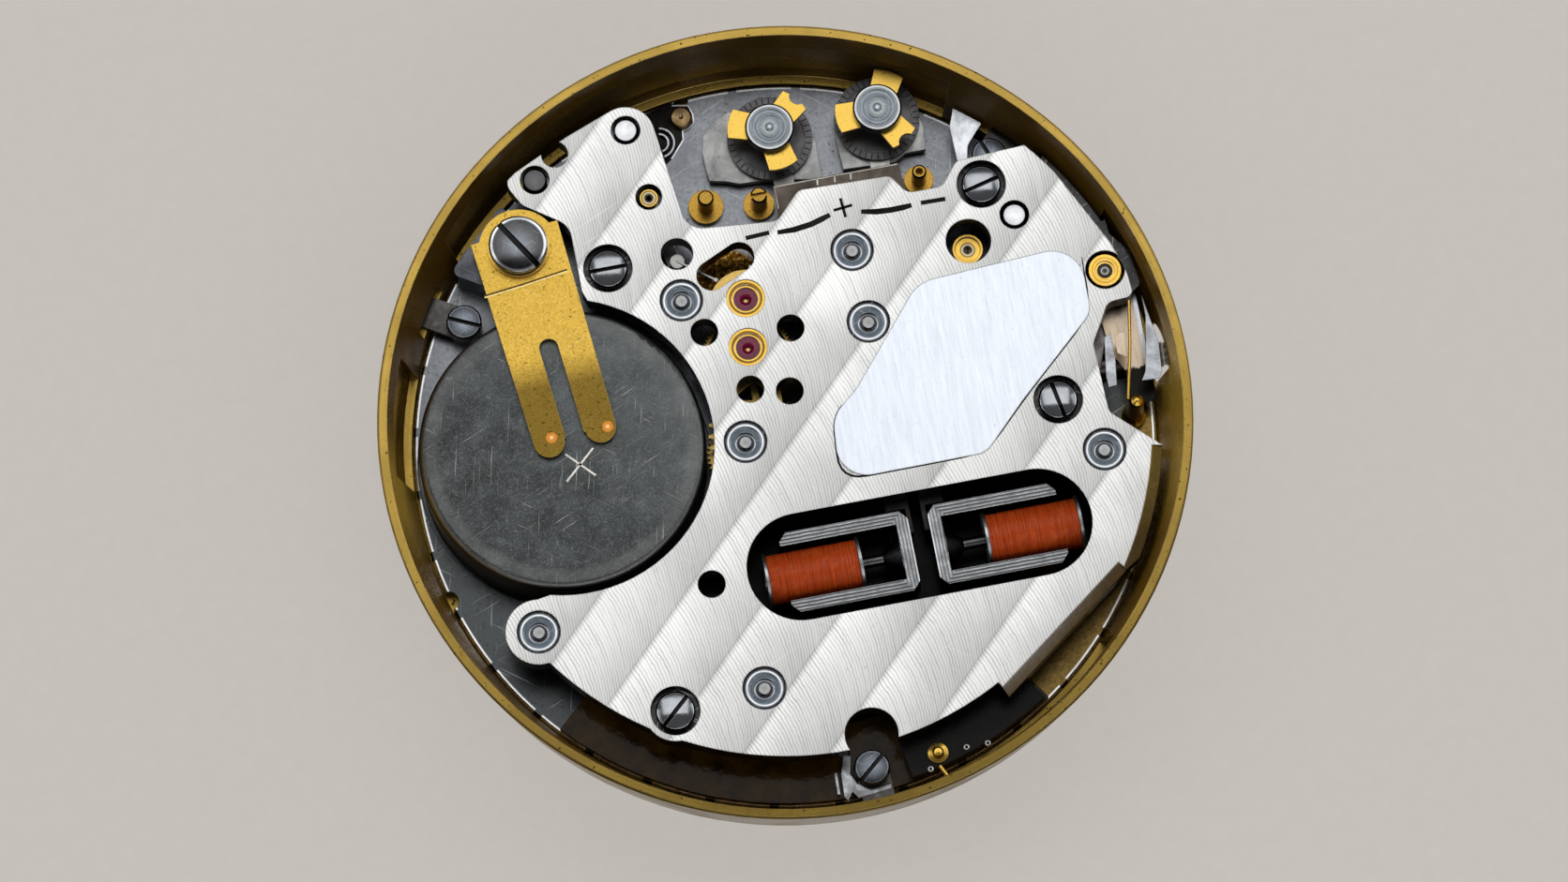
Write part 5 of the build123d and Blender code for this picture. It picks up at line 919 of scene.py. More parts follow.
def winding_tree():
    """Wire wound as one long spiral round +Z."""
    g, given, out = growing_tree("wound wire", [
        ("Turns", FLOAT, 60.0), ("Length", FLOAT, 3.7), ("Radius", FLOAT, 1.0), ("Wire", FLOAT, 0.03),
        ("Sides", INTEGER, 48),
    ])
    spiral = g.add("GeometryNodeCurveSpiral")
    for label, source in (
        ("Resolution", "Sides"), ("Rotations", "Turns"), ("Start Radius", "Radius"), ("End Radius", "Radius"),
        ("Height", "Length"),
    ):
        g.put(spiral.inputs[label], given[source])
    section = g.add("GeometryNodeCurvePrimitiveCircle")
    section.inputs["Resolution"].default_value = 6
    g.put(section.inputs["Radius"], given["Wire"])
    tube = g.add("GeometryNodeCurveToMesh")
    g.put(tube.inputs["Curve"], spiral.outputs[0])
    g.put(tube.inputs["Profile Curve"], section.outputs["Curve"])
    tube.inputs["Fill Caps"].default_value = True
    return painted(g, given, out, tube.outputs[0])


def tick_tree():
    """Short bars set round a circle, pointing outwards."""
    g, given, out = growing_tree("graduation", [
        ("Count", INTEGER, 40), ("Radius", FLOAT, 1.6), ("Length", FLOAT, 0.22), ("Width", FLOAT, 0.03),
        ("Height", FLOAT, 0.02),
    ])
    circle = g.add("GeometryNodeMeshCircle")
    g.put(circle.inputs["Vertices"], given["Count"])
    g.put(circle.inputs["Radius"], given["Radius"])
    bar = g.add("GeometryNodeMeshCube")
    g.put(bar.inputs["Size"], g.join(given["Length"], given["Width"], given["Height"]))
    turn = g.add("FunctionNodeAlignRotationToVector", axis="X")
    g.put(turn.inputs["Vector"], g.add("GeometryNodeInputPosition").outputs[0])
    spread = g.add("GeometryNodeInstanceOnPoints")
    g.put(spread.inputs["Points"], circle.outputs[0])
    g.put(spread.inputs["Instance"], bar.outputs["Mesh"])
    g.put(spread.inputs["Rotation"], turn.outputs[0])
    return painted(g, given, out, spread.outputs[0])


# Settings


def size(name, description, default):
    return FloatProperty(name=name, description=description, default=default)


def count(name, description, default, lowest):
    return IntProperty(name=name, description=description, default=default, min=lowest)


def tone(name, description, default):
    return FloatVectorProperty(name=name, description=description, subtype="COLOR", default=default)


class MovementSettings(bpy.types.PropertyGroup):
    """Sizes and colours of the movement's finishes."""

    stripe_width: size("Stripe width", "Width of one stripe in mm", 2.8)
    stripe_pitch: size("Tool line pitch", "Distance of the tool lines in mm", 0.13)
    bridge_colour: tone("Bridge", "Nickel of the bridge", (0.8, 0.8, 0.785))
    plate_colour: tone("Plate", "Nickel of the plate", (0.34, 0.355, 0.38))
    ring_colour: tone("Ring", "Old brass of the casing ring", (0.34, 0.225, 0.05))
    gilt_colour: tone("Gilt", "Gilt brass of strap and stars", (0.78, 0.5, 0.09))
    steel_colour: tone("Steel", "Steel of the dial side screws", (0.5, 0.515, 0.535))
    cell_colour: tone("Cell", "Nickelled can of the cell", (0.08, 0.088, 0.09))
    ruby_colour: tone("Ruby", "Stone of the bearings", (0.26, 0.004, 0.06))
    wire_colour: tone("Wire", "Enamelled copper wire", (0.9, 0.13, 0.018))
    floor_colour: tone("Backdrop", "Paper under the object", (0.74, 0.70, 0.655))
    wire_turns: count("Turns", "Turns that show on one coil", 62, 10)
    wire_radius: size("Wire radius", "Radius of the wire in mm", 0.03)
    dial_ticks: count("Dial ticks", "Ticks round one regulator dial", 40, 4)
    thread_pitch: size("Thread pitch", "Pitch of the stem's thread in mm", 0.26)
    neck: size("Thread run", "Thread that runs on behind its seat in mm", 0.5)


class Maker:
    """Shared part of the operators."""

    bl_options = {"REGISTER", "UNDO"}

    def execute(self, context):
        self.make(context.scene.movement)
        return {"FINISHED"}


class FinishRing(Maker, bpy.types.Operator):
    """Turned old brass of the casing ring"""

    bl_idname = "movement.finish_ring"
    bl_label = "Casing ring"

    def make(self, s):
        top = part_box("casing_ring")[1][2] / MM
        dress(ring_finish("aged turned brass", s.ring_colour, (0.1, 0.062, 0.014), top), "casing_ring")


class FinishBridge(Maker, bpy.types.Operator):
    """Striped nickel of the train bridge"""

    bl_idname = "movement.finish_bridge"
    bl_label = "Train bridge"

    def make(self, s):
        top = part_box("train_bridge")[1][2] / MM
        striped = bridge_finish("striped nickel", s.bridge_colour, s.stripe_width, s.stripe_pitch, top - 0.02)
        dress(striped, "train_bridge")


class FinishPlate(Maker, bpy.types.Operator):
    """Grey nickel of the plate and the parts of its colour"""

    bl_idname = "movement.finish_plate"
    bl_label = "Main plate"

    def make(self, s):
        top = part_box("main_plate")[1][2] / MM
        low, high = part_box("coil_windings")
        coils = ((low[0] + high[0]) / 2 / MM, (low[1] + high[1]) / 2 / MM)
        grey, deep, black = (0.4, 0.4, 0.39), (0.11, 0.115, 0.13), (0.04, 0.042, 0.05)
        bronze, umber = (0.13, 0.11, 0.09), (0.05, 0.04, 0.03)
        dress(plate_finish("plate nickel", s.plate_colour, top, coils, KIDNEY_SLOT), "main_plate")
        dress(worn_edge_lit_metal("calendar nickel", grey, (0.2, 0.2, 0.2), 0.26, scale=0.8), "calendar_plate")
        dress(worn_edge_lit_metal("block nickel", deep, black, 0.24, scale=0.9), "strap_block")
        dress(worn_edge_lit_metal("dark bronze", bronze, umber, 0.35, edge=0.5, edge_highlight_lift=2.5), "index_plate")


class FinishCell(Maker, bpy.types.Operator):
    """Dull can of the button cell and the insulation under it"""

    bl_idname = "movement.finish_cell"
    bl_label = "Button cell"

    def make(self, s):
        centre = axes_of("button_cell")[0]
        dress(cell_finish("dull cell can", s.cell_colour, (0.035, 0.04, 0.041), centre), "button_cell")
        dress(resin_finish("black film", (0.02, 0.02, 0.02), (0.05, 0.05, 0.05), 0.5), "cell_insulator")


class FinishGilt(Maker, bpy.types.Operator):
    """Gilt brass of the strap, stars, settings and wheels"""

    bl_idname = "movement.finish_gilt"
    bl_label = "Gilt pieces"

    def make(self, s):
        strap = gilt_finish(
            "rolled gilt strip", s.gilt_colour, (0.36, 0.22, 0.03), 0.26, 0.9, 1.0, (4.6, 3.4), STRAP_GLINT_DOTS
        )
        dress(strap, "battery_strap")
        dress(
            gilt_finish("bright gilt", s.gilt_colour, (0.52, 0.34, 0.07), 0.16, 0.3, 1.6),
            "strap_washer", "regulator_star_left", "regulator_star_right", "cell_contact_spring",
        )
        dress(gilt_finish("post gilt", (0.5, 0.29, 0.05), (0.14, 0.07, 0.012), 0.16, 0.3, 1.6), "terminal_posts")
        dress(
            gilt_finish("gilt wheels", (0.72, 0.5, 0.15), (0.36, 0.22, 0.05), 0.26, 0.4, 2.0),
            "index_wheel", "intermediate_wheel", "seconds_wheel", "third_wheel", "centre_wheel", "minute_wheel",
            "hour_wheel", "date_driving_wheel",
        )


class FinishScrews(Maker, bpy.types.Operator):
    """Turned and polished heads of screws, pins, bushings and caps"""

    bl_idname = "movement.finish_screws"
    bl_label = "Screws and bushings"

    def make(self, s):
        black, deep, mid = (0.015,) * 3, (0.06, 0.065, 0.075), (0.24, 0.27, 0.31)
        pale, highlight_white = (0.62, 0.63, 0.65), (0.88,) * 3
        gold, ochre, umber = (0.8, 0.5, 0.09), (0.42, 0.24, 0.03), (0.05, 0.025, 0.006)
        # The ramps hold painted highlight rings in white and pale, and painted shade rings in black and deep, for
        # polished chamfers, sinks and caps.
        polished = [(0.0, (0.42, 0.44, 0.46)), (0.8, (0.36, 0.38, 0.4)), (0.86, mid), (0.9, highlight_white), (1.0, pale)]
        plain = [(0.0, mid), (0.8, deep), (1.0, mid)]
        rimmed = [(0.0, mid), (0.6, (0.1, 0.1, 0.1)), (0.84, deep), (0.9, highlight_white), (1.0, pale)]
        flush = [(0.0, highlight_white), (0.8, pale), (0.88, black), (1.0, black)]
        dished = [
            (0.0, (0.24, 0.24, 0.23)), (0.2, (0.34, 0.34, 0.33)), (0.25, mid), (0.29, black), (0.4, deep),
            (0.44, pale), (0.48, (0.1, 0.12, 0.14)), (0.6, (0.07, 0.09, 0.11)), (0.74, (0.15, 0.18, 0.21)),
            (0.8, highlight_white), (0.84, mid), (0.88, deep), (0.92, black), (1.0, black),
        ]
        circled = [
            (0.0, pale), (0.08, mid), (0.14, deep), (0.22, (0.3, 0.33, 0.34)), (0.4, (0.16, 0.18, 0.19)),
            (0.46, mid), (0.58, (0.12, 0.14, 0.15)), (0.64, mid), (0.82, (0.17, 0.19, 0.2)), (0.9, pale),
            (0.96, deep), (1.0, black),
        ]
        setting = [
            (0.0, umber), (0.62, umber), (0.66, gold), (0.74, gold), (0.78, umber), (0.87, ochre), (0.9, gold),
            (1.0, gold),
        ]
        bush = [
            (0.0, black), (0.16, umber), (0.24, black), (0.36, (0.6, 0.5, 0.3)), (0.44, umber), (0.5, gold),
            (0.7, gold), (0.78, ochre), (0.84, gold), (1.0, gold),
        ]
        looks = {
            "bridge_screws": (0.8, polished, 0.09, 0.24),
            "casing_screws": (0.72, plain, 0.16, 0.06),
            "strap_screw": (1.2, rimmed, 0.1, 0.1),
            "bridge_bushings": (0.88, dished, 0.16, 0.0),
            "steady_pins": (0.5, flush, 0.25, 0.0),
            "regulator_cap_left": (1.0, circled, 0.14, 0.04),
            "regulator_cap_right": (1.0, circled, 0.14, 0.04),
            "jewel_chatons": (0.78, setting, 0.16, 0.0),
            "eccentric_bush": (0.66, bush, 0.18, 0.0),
        }
        for name, (radius, bands, roughness, crown) in looks.items():
            centres = axes_of(name)
            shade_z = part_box(name)[1][2] / MM - (SLOT_DEPTH if "screw" in name else NO_SLOT)
            blued = min(centres) if name == "steady_pins" else None
            dress(head_finish("turned " + name, centres, radius, bands, roughness, crown, shade_z, blued), name)
        for name in ("regulator_dial_left", "regulator_dial_right"):
            dial = turned_metal("turned " + name, (0.15, 0.145, 0.15), (0.05, 0.048, 0.05), 0.3, axes_of(name))
            dress(dial, name)
        dress(worn_edge_lit_metal("screw steel", s.steel_colour, mid, 0.2, scale=2.0), "dial_side_screws")


class FinishSteel(Maker, bpy.types.Operator):
    """Polished and satin steel of fork, levers, clamps and stem"""

    bl_idname = "movement.finish_steel"
    bl_label = "Steel pieces"

    def make(self, s):
        dress(
            worn_edge_lit_metal("blued clamp steel", (0.11, 0.105, 0.1), (0.035, 0.03, 0.025), 0.26, scale=1.6, edge_highlight_lift=3.0),
            "casing_clamps",
        )
        dress(
            worn_edge_lit_metal("polished steel", (0.6, 0.62, 0.65), (0.3, 0.32, 0.34), 0.14, scale=1.5, grain=0.12),
            "stop_lever",
        )
        cover = cover_finish("bright cover", COVER_EAST, COVER_FOOT, max(axes_of("eccentric_bush")))
        dress(cover, "keyless_cover")
        dress(
            # Painted shade: the arms turn black where they reach down into the coil window.
            worn_edge_lit_metal("satin steel", (0.56, 0.55, 0.53), (0.36, 0.35, 0.33), 0.3, scale=1.2, shade=(-2.0, -2.6)),
            "fork_arm_left", "fork_arm_right", "fork_base", "drive_pawl", "hold_pawl", "yoke", "sliding_pinion",
            "cannon_pinion", "date_finger", "date_jumper",
        )
        dress(
            worn_edge_lit_metal("dark stem steel", (0.2, 0.19, 0.18), (0.08, 0.07, 0.06), 0.24, scale=2.0),
            "setting_stem", "setting_lever",
        )
        dress(worn_edge_lit_metal("pale date ring", (0.7, 0.69, 0.66), (0.6, 0.58, 0.54), 0.45, scale=0.8), "date_ring")


class FinishJewels(Maker, bpy.types.Operator):
    """Red stones of the bearings"""

    bl_idname = "movement.finish_jewels"
    bl_label = "Jewels"

    def make(self, s):
        dress(ruby_finish("ruby", s.ruby_colour), "ruby_jewels", "plate_jewels")


class FinishCups(Maker, bpy.types.Operator):
    """Satin iron of the magnet cups, and dark magnets whose edges are brightened as painted highlights"""

    bl_idname = "movement.finish_cups"
    bl_label = "Magnet cups"

    def make(self, s):
        for side, closed_to in (("left", 1), ("right", -1)):
            low, high = ([v / MM for v in corner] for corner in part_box("magnet_cup_" + side))
            dress(cup_finish("ground iron " + side, low, high, closed_to), "magnet_cup_" + side)
        magnet, black = (0.13, 0.13, 0.135), (0.03, 0.03, 0.03)
        dress(
            # Painted highlight: strongly brightened edges on the dark cones.
            worn_edge_lit_metal("magnet metal", magnet, black, 0.16, scale=2.0, edge_highlight_lift=5.0, edge=0.9),
            "magnet_cone_left", "magnet_cone_right",
        )
        dress(worn_edge_lit_metal("former flange", (0.5, 0.52, 0.55), (0.3, 0.31, 0.33), 0.3, scale=2.0), "coil_formers")


class FinishCircuit(Maker, bpy.types.Operator):
    """Black potted circuit and its amber carrier"""

    bl_idname = "movement.finish_circuit"
    bl_label = "Circuit"

    def make(self, s):
        dress(resin_finish("black resin", (0.002, 0.002, 0.002), (0.008, 0.006, 0.004), 0.3), "circuit_block")
        dress(resin_finish("amber resin", (0.075, 0.04, 0.006), (0.018, 0.009, 0.002), 0.12), "circuit_carrier")


class WindCoils(Maker, bpy.types.Operator):
    """Fine wire of the two coils"""

    bl_idname = "movement.wind_coils"
    bl_label = "Coil wire"

    def make(self, s):
        wire = wire_finish("enamelled copper", s.wire_colour, (0.34, 0.035, 0.006))
        tree = winding_tree()
        core = bmesh.new()
        for i, (low, high) in enumerate(sorted(solid_boxes("coil_windings"), key=lambda b: b[0].x)):
            middle = (low + high) / 2
            width = high.x - low.x
            radius = (high.z - low.z) / 2 - 2 * s.wire_radius
            lying = Matrix.Translation((low.x, middle.y, middle.z)) @ Matrix.Rotation(math.pi / 2, 4, "Y")
            grown(f"coil_wire_{i + 1}", tree, {
                "Turns": float(s.wire_turns), "Length": width - 2 * s.wire_radius,
                "Radius": radius + s.wire_radius, "Wire": s.wire_radius,
            }, wire, "movement", Matrix.Translation((s.wire_radius, 0, 0)) @ lying)
            known = len(core.verts)
            turned_shape(core, [
                (radius - 0.25, 0), (radius, 0), (radius, width), (radius - 0.25, width), (radius - 0.25, 0),
            ], (0, 0), 48)
            bmesh.ops.transform(core, matrix=lying, verts=list(core.verts)[known:])
        welded(core)
        piece = settled("coil_under_layer", core, wire, "movement")
        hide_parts("coil_windings")


class CutThread(Maker, bpy.types.Operator):
    """Thread on the outer end of the setting stem"""

    bl_idname = "movement.cut_thread"
    bl_label = "Stem thread"

    def make(self, s):
        mount = next(m for m in frame["record"]["mounts"] if m["name"] == "stem_thread")
        axis = Vector(mount["axis"])
        radius, seat = mount["dims"]["r_mm"], mount["dims"]["length_mm"]
        length = seat + s.neck
        start = Vector(mount["pos_m"]) / MM + axis * (seat / 2 - length)
        # Painted light: the thread is pale and only partly metallic so that it shows bright inside the ring's
        # shade.
        steel = worn_edge_lit_metal(
            "bright thread crest", (0.6, 0.56, 0.5), (0.06, 0.055, 0.05), 0.18, scale=3.0, edge_highlight_lift=0.9, metallic=0.3
        )
        place = Matrix.Translation(start + axis * 0.06) @ axis.to_track_quat("Z", "Y").to_matrix().to_4x4()
        grown("stem_thread_ridge", winding_tree(), {
            "Turns": (length - 0.2) / s.thread_pitch, "Length": length - 0.2, "Radius": radius - 0.02,
            "Wire": 0.085, "Sides": 32,
        }, steel, "stem", place)


class MarkDials(Maker, bpy.types.Operator):
    """Graduations round the two regulator dials"""

    bl_idname = "movement.mark_dials"
    bl_label = "Dial graduations"

    def make(self, s):
        ink = resin_finish("engraved ticks", (0.015, 0.015, 0.015), (0.03, 0.03, 0.03), 0.5)
        tree = tick_tree()
        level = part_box("fork_arm_left")[0][2] / MM + ARM_THICK + DIAL_HIGH
        for side, body in (("left", "fork_left"), ("right", "fork_right")):
            name = "regulator_dial_" + side
            low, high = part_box(name)
            grown("graduation_" + side, tree, {
                "Count": s.dial_ticks, "Radius": (high[0] - low[0]) / 2 / MM - 0.15, "Length": 0.24,
                "Width": 0.035, "Height": 0.012,
            }, ink, body, Matrix.Translation((*axes_of(name)[0], level)))


class MarkBridge(Maker, bpy.types.Operator):
    """Stamped plus, minus and curved marks of the regulating index"""

    bl_idname = "movement.mark_bridge"
    bl_label = "Index marks"

    def make(self, s):
        black, deep = (0.02, 0.018, 0.016), (0.008, 0.008, 0.008)
        ink = worn_edge_lit_metal("stamped marks", black, deep, 0.4, edge=0.7, bevel=0.02, edge_highlight_lift=12.0)
        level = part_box("train_bridge")[1][2] / MM - 0.05
        broad = [
            [(-0.10, 7.95), (0.88, 8.00)],
            [(1.21, 7.94), (1.9, 7.93), (2.6, 8.02), (3.1, 8.16), (3.44, 8.27)],
            [(4.70, 8.16), (5.3, 8.04), (5.90, 8.00), (6.4, 8.01), (6.76, 8.04)],
            [(7.15, 8.06), (8.16, 8.04)],
        ]
        plus = [[(3.62, 8.42), (4.40, 8.50)], [(4.04, 8.05), (3.98, 8.87)]]
        lines = [(line, 0.24) for line in broad] + [(line, 0.16) for line in plus]
        built("index_marks", ink, "movement", "bridge_nickel", *(
            (ribbon, line, width, level - SUNK, level + 0.008, 0.75) for line, width in lines
        ))


class MarkIndexPlate(Maker, bpy.types.Operator):
    """Bright ticks on the dark plate under the bridge's edge"""

    bl_idname = "movement.mark_index_plate"
    bl_label = "Index plate ticks"

    def make(self, s):
        bright = worn_edge_lit_metal("scribed ticks", (0.62, 0.6, 0.55), (0.4, 0.38, 0.34), 0.3, scale=2.0)
        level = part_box("index_plate")[1][2] / MM
        ticks = [
            (ribbon, [(x, 10.14), (x - 0.04, 9.86)], 0.07, level - SUNK, level + 0.006) for x in (3.28, 4.0, 4.66)
        ]
        corner = (ribbon, [(1.5, 9.2), (1.5, 10.14), (6.6, 10.14)], 0.05, level - SUNK, level + 0.004)
        built("index_plate_ticks", bright, "movement", "dark_plate", *ticks, corner)


class MarkCell(Maker, bpy.types.Operator):
    """Raised plus sign on the cell's face"""

    bl_idname = "movement.mark_cell"
    bl_label = "Cell sign"

    def make(self, s):
        bright = worn_edge_lit_metal("raised cell sign", (0.66, 0.63, 0.58), (0.5, 0.48, 0.45), 0.22, scale=2.0)
        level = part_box("button_cell")[1][2] / MM
        bars = ([(-9.05, -0.55), (-7.75, 0.62)], [(-8.9, 0.58), (-7.85, -0.52)])
        built("cell_sign", bright, "movement", "cell_steel", *(
            (ribbon, bar, 0.09, level - SUNK, level + 0.012) for bar in bars
        ))


class AddCircuitPins(Maker, bpy.types.Operator):
    """Solder rings and a gilt pin on the potted circuit"""

    bl_idname = "movement.add_circuit_pins"
    bl_label = "Circuit pins"

    def make(self, s):
        gilt = bpy.data.materials["bright gilt"]
        tin = worn_edge_lit_metal("solder", (0.68, 0.68, 0.66), (0.4, 0.4, 0.38), 0.25, scale=2.0)
        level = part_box("circuit_block")[1][2] / MM
        bead = [
            (0.05, level - SUNK), (0.13, level - SUNK), (0.12, level + 0.04), (0.08, level + 0.05),
            (0.05, level + 0.03), (0.05, level - SUNK),
        ]
        places = ((3.12, -14.61), (4.7, -14.0), (5.57, -14.0))
        rings = [(turned_shape, bead, place, 20) for place in places]
        built("solder_rings", tin, "movement", "steel", *rings, (welded,))
        pin = [
            (0, level - SUNK), (0.42, level - SUNK), (0.42, level + 0.1), (0.24, level + 0.14),
            (0.22, level + 0.3), (0.16, level + 0.36), (0, level + 0.38),
        ]
        built(
            "circuit_pin", gilt, "movement", "gold_brass", (turned_shape, pin, (3.53, -14.03), 24),
            (rod, [(3.5, -14.55, level + 0.08), (3.75, -15.05, level + 0.08)], 0.1),
        )


class AddKeylessPins(Maker, bpy.types.Operator):
    """Gilt pin, spring wire and bright plates beside the stem"""

    bl_idname = "movement.add_keyless_pins"
    bl_label = "Keyless pins"

    def make(self, s):
        gilt = bpy.data.materials["bright gilt"]
        cover = bpy.data.materials["bright cover"]
        steel = worn_edge_lit_metal("grey cover edge", (0.42, 0.44, 0.47), (0.14, 0.14, 0.14), 0.2, scale=1.4, edge_highlight_lift=1.0)
        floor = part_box("main_plate")[1][2] / MM
        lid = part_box("keyless_cover")[1][2] / MM
        pin = [
            (0, floor), (0.5, floor), (0.5, floor + 0.3), (0.36, floor + 0.36), (0.3, lid - 0.05),
            (0.22, lid + 0.1), (0.1, lid + 0.18), (0, lid + 0.2),
        ]
        spring = [(14.62, 2.5, lid + 0.1), (14.31, 0.78, lid + 0.1), (14.1, -0.15, lid + 0.1), (13.78, -1.5, lid)]
        upper = [
            (15.17, 2.64), (15.46, 0.6), (15.35, -0.63), (15.2, -0.89), (14.48, -0.85), (14.69, -0.51),
            (14.88, 0.28), (15.16, 1.77),
        ]
        lower = [(13.37, 1.26), (13.62, 1.35), (13.63, 0.34), (13.47, -0.79), (13.13, -0.82), (13.12, -0.34)]
        tongue = [(13.78, 1.32), (14.22, 1.3), (14.08, 0.24), (13.75, 0.5)]
        built("keyless_pin", gilt, "movement", "gold_brass", (turned_shape, pin, (14.1, -1.65), 24))
        built("keyless_spring", gilt, "movement", "gold_brass", (rod, spring, 0.065))
        built(
            "keyless_edge", steel, "movement", "steel", (outline, upper, lid - SUNK, lid + 0.03),
            (outline, lower, lid - 0.28, lid - 0.2),
        )
        built("keyless_tongue", cover, "movement", "steel", (outline, tongue, lid - 0.2, lid - 0.16))


class AddPlateSteps(Maker, bpy.types.Operator):
    """Broad tine ends under the regulators, a black sheet as painted shade in the plate's recess with a polished
    strip as its painted lit rim, and a stud
    """

    bl_idname = "movement.add_plate_steps"
    bl_label = "Plate steps"

    def make(self, s):
        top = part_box("main_plate")[1][2] / MM
        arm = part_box("fork_arm_left")[0][2] / MM
        satin = worn_edge_lit_metal("pale tine steel", (0.3, 0.3, 0.29), (0.14, 0.145, 0.15), 0.26, scale=1.2, edge=0.7)
        # Painted shade: a black sheet laid on the plate for its recess.
        dark = worn_edge_lit_metal("shadowed cut", (0.02, 0.018, 0.015), (0.008, 0.007, 0.006), 0.4, edge_highlight_lift=1.0)
        bronze = worn_edge_lit_metal("bronze stud", (0.36, 0.25, 0.12), (0.12, 0.07, 0.03), 0.24, scale=2.0)
        tines = {
            "left": [
                (0.3, 13.98), (-0.5, 13.64), (-0.9, 13.16), (-1.05, 12.47), (-1.03, 11.66), (-0.98, 11.25),
                (-0.3, 11.1), (0.2, 10.9), (1.35, 10.85), (3.53, 10.46), (3.62, 12.4), (2.6, 13.9),
            ],
            "right": [
                (4.41, 12.2), (4.49, 10.7), (6.6, 10.6), (7.1, 10.9), (7.95, 10.9), (8.05, 11.9), (7.7, 13.6),
                (5.2, 14.0),
            ],
        }
        for side, points in tines.items():
            built("tine_end_" + side, satin, "fork_" + side, "steel", (outline, points, arm + 0.05, arm + 0.4))
        shared = [
            (-1.9, 14.84), (-1.23, 14.71), (-1.11, 14.33), (-1.14, 13.93), (-1.41, 13.74), (-1.64, 13.79),
            (-1.69, 13.31), (-2.32, 12.59),
        ]
        cut = [
            (-1.3, 15.02), (-1.79, 14.95), *shared, (-2.6, 12.4), (-3.4, 12.6), (-3.9, 14.0), (-3.6, 14.5),
            (-2.4, 14.85),
        ]
        rim = [(-1.79, 14.97), *shared]
        stud = [(0, top), (0.45, top), (0.45, top + 0.28), (0.38, top + 0.34), (0.1, top + 0.36), (0, top + 0.3)]
        bends = [
            [(-2.7 + radius * math.cos(t / 10), 13.3 + radius * math.sin(t / 10)) for t in range(-14, 15, 2)]
            for radius in (0.62, 0.38)
        ]
        built("plate_cut", dark, "movement", "dark_plate", (outline, cut, top - 0.01, top + 0.02))
        # Painted highlight: a polished strip as the recess's lit rim.
        polished = bpy.data.materials["polished steel"]
        built("plate_cut_edge", polished, "movement", "steel", (ribbon, rim, 0.07, top, top + 0.05))
        built("plate_stud", bronze, "movement", "gold_brass", (turned_shape, stud, (-1.62, 14.2), 28))
        built("plate_hook", bpy.data.materials["screw steel"], "movement", "steel", *(
            (ribbon, bend, 0.08, top + 0.02, top + 0.3) for bend in bends
        ))


class PaintStrapFoldLight(Maker, bpy.types.Operator):
    """Painted shadow and painted highlight along the strap's fold line"""

    bl_idname = "movement.add_strap_fold"
    bl_label = "Painted strap fold"

    def make(self, s):
        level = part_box("battery_strap")[1][2] / MM
        folds = (
            ("strap_crease", gilt_finish("crease", (0.16, 0.085, 0.012), (0.05, 0.025, 0.004), 0.4),
             [(-10.93, 7.57), (-9.2, 7.77), (-7.43, 8.03)], 0.07, 0.006),
            ("strap_ridge", gilt_finish("bright ridge", (0.95, 0.76, 0.36), (0.8, 0.55, 0.15), 0.2),
             [(-10.92, 7.5), (-9.2, 7.7), (-7.44, 7.96)], 0.06, 0.008),
        )
        for name, material, line, width, rise in folds:
            built(name, material, "strap", "gold_brass", (ribbon, line, width, level - SUNK, level + rise))


class AddClampFoot(Maker, bpy.types.Operator):
    """Forked foot of the lower clamp and the clip beside it"""

    bl_idname = "movement.add_clamp_foot"
    bl_label = "Clamp foot"

    def make(self, s):
        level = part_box("casing_clamps")[1][2] / MM
        steel = worn_edge_lit_metal("grey foot", (0.4, 0.41, 0.43), (0.1, 0.1, 0.1), 0.2, scale=1.6)
        fork = [
            (-0.19, -13.3), (-0.42, -14.04), (-0.47, -14.97), (-0.35, -15.19), (-0.11, -14.84), (0.09, -15.14),
            (1.44, -15.0), (1.48, -14.81), (0.66, -14.92), (0.14, -14.55), (-0.07, -14.11), (0.1, -13.41),
        ]
        clip = [(-0.63, -13.95), (-0.66, -14.85)]
        built(
            "clamp_foot", steel, "movement", "steel", (outline, fork, level - SUNK, level + 0.03),
            (ribbon, clip, 0.11, level - 0.1, level),
        )


class PaintFieldShadow(Maker, bpy.types.Operator):
    """Painted shadow: a dark line round the smooth field's lower sides"""

    bl_idname = "movement.edge_field"
    bl_label = "Field shadow line"

    def make(self, s):
        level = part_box("train_bridge")[1][2] / MM - 0.05
        corners = [(13.1, 4.6), (12.99, 2.25), (9.6, -0.78), (7.73, -2.64), (1.72, -2.67), (1.95, 0.0), (3.0, 0.85)]
        line = [corners[0]]
        for before, corner, after in zip(corners, corners[1:], corners[2:]):
            a, c, b = Vector(before), Vector(corner), Vector(after)
            reach = min(1.1, (a - c).length / 2.1, (b - c).length / 2.1)
            start, end = c + (a - c).normalized() * reach, c + (b - c).normalized() * reach
            for i in range(7):
                t = i / 6
                line.append(tuple(start * (1 - t) ** 2 + c * 2 * t * (1 - t) + end * t**2))
        built(
            "field_edge", bpy.data.materials["stamped marks"], "movement", "bridge_nickel",
            (ribbon, line, 0.09, level - SUNK, level + 0.01, 0.4),
        )


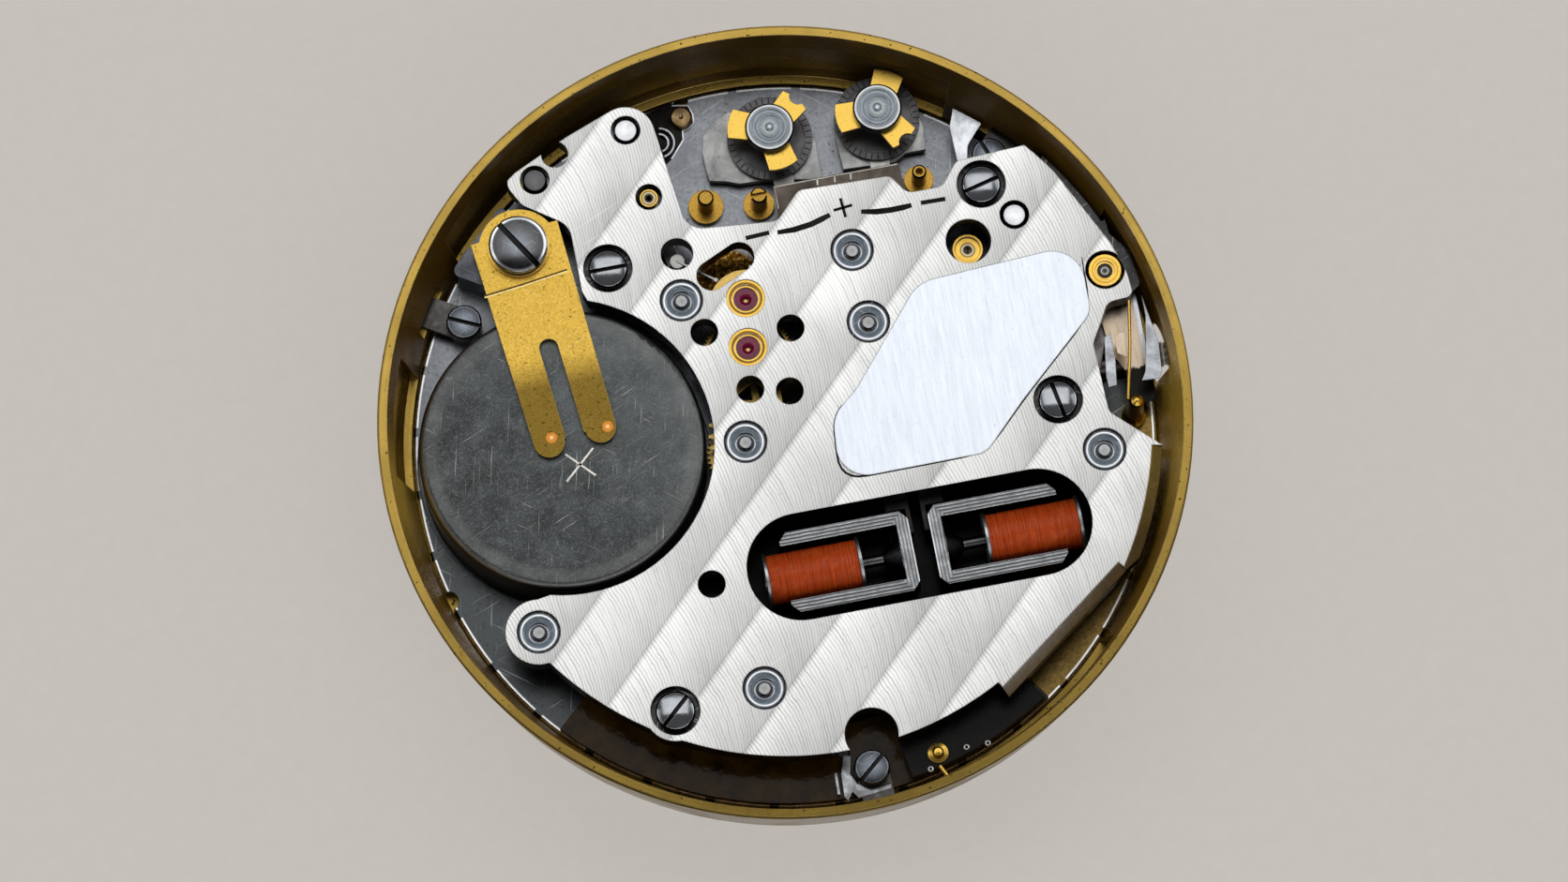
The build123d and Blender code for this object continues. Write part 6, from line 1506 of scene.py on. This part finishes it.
class SetStage(Maker, bpy.types.Operator):
    """Backdrop, lamps and the camera at the photograph's angle"""

    bl_idname = "movement.set_stage"
    bl_label = "Stage"

    def make(self, s):
        scene = bpy.context.scene
        work = bmesh.new()
        at = Matrix.Translation((0, 0, FLOOR_Z))
        bmesh.ops.create_grid(work, x_segments=1, y_segments=1, size=FLOOR_HALF, matrix=at)
        mesh = bpy.data.meshes.new("backdrop")
        work.to_mesh(mesh)
        work.free()
        mesh.materials.append(floor_finish("backdrop paper", s.floor_colour))
        floor = bpy.data.objects.new("backdrop", mesh)
        scene.collection.objects.link(floor)
        scene.world = bpy.data.worlds.new("studio")
        scene.world.use_nodes = True
        background = scene.world.node_tree.nodes["Background"]
        background.inputs["Color"].default_value = (0.80, 0.81, 0.83, 1.0)
        background.inputs["Strength"].default_value = 0.16
        for name, values in LAMPS.items():
            self.lamp(name, *values)
        data = bpy.data.cameras.new("camera")
        data.sensor_width = CAMERA_SENSOR
        data.lens = CAMERA_LENS
        data.clip_start = 0.01
        data.clip_end = 10.0
        camera = bpy.data.objects.new("camera", data)
        scene.collection.objects.link(camera)
        away = math.cos(CAMERA_RISE)
        back = Vector((math.sin(CAMERA_TURN) * away, -math.cos(CAMERA_TURN) * away, math.sin(CAMERA_RISE)))
        right = Vector((math.cos(CAMERA_TURN), math.sin(CAMERA_TURN), 0.0))
        axes = Matrix((right, back.cross(right), back)).transposed().to_4x4()
        camera.matrix_world = Matrix.Translation(CAMERA_PLACE) @ axes
        scene.camera = camera
        scene.view_settings.view_transform = "Standard"

    def lamp(self, name, place, width, height, power):
        """Adds a lamp that looks at the origin."""
        data = bpy.data.lights.new(name, "AREA")
        data.shape = "RECTANGLE"
        data.size = width
        data.size_y = height
        data.energy = power
        lamp = bpy.data.objects.new(name, data)
        bpy.context.scene.collection.objects.link(lamp)
        lamp.location = place
        lamp.rotation_mode = "QUATERNION"
        lamp.rotation_quaternion = Vector(place).to_track_quat("Z", "Y")


class MovementPanel(bpy.types.Panel):
    """Lists the finishes and fine pieces"""

    bl_idname = "MOVEMENT_PT_finishes"
    bl_label = "Movement finishes"
    bl_space_type = "VIEW_3D"
    bl_region_type = "UI"
    bl_category = "Movement"

    def draw(self, context):
        for name in MovementSettings.__annotations__:
            self.layout.prop(context.scene.movement, name)
        for operator in OPERATORS:
            self.layout.operator(operator.bl_idname)


OPERATORS = (
    FinishRing, FinishBridge, FinishPlate, FinishCell, FinishGilt, FinishScrews, FinishSteel, FinishJewels,
    FinishCups, FinishCircuit, WindCoils, CutThread, MarkDials, MarkBridge, MarkIndexPlate, MarkCell,
    AddCircuitPins, AddKeylessPins, AddPlateSteps, PaintStrapFoldLight, AddClampFoot, PaintFieldShadow, SetStage,
)


def register():
    for item in (MovementSettings, *OPERATORS, MovementPanel):
        bpy.utils.register_class(item)
    bpy.types.Scene.movement = PointerProperty(type=MovementSettings)


def unregister():
    del bpy.types.Scene.movement
    for item in (MovementPanel, *reversed(OPERATORS), MovementSettings):
        bpy.utils.unregister_class(item)


def main():
    register()
    for operator in OPERATORS:
        group, name = operator.bl_idname.split(".")
        getattr(getattr(bpy.ops, group), name)()


if __name__ == "__main__":
    main()
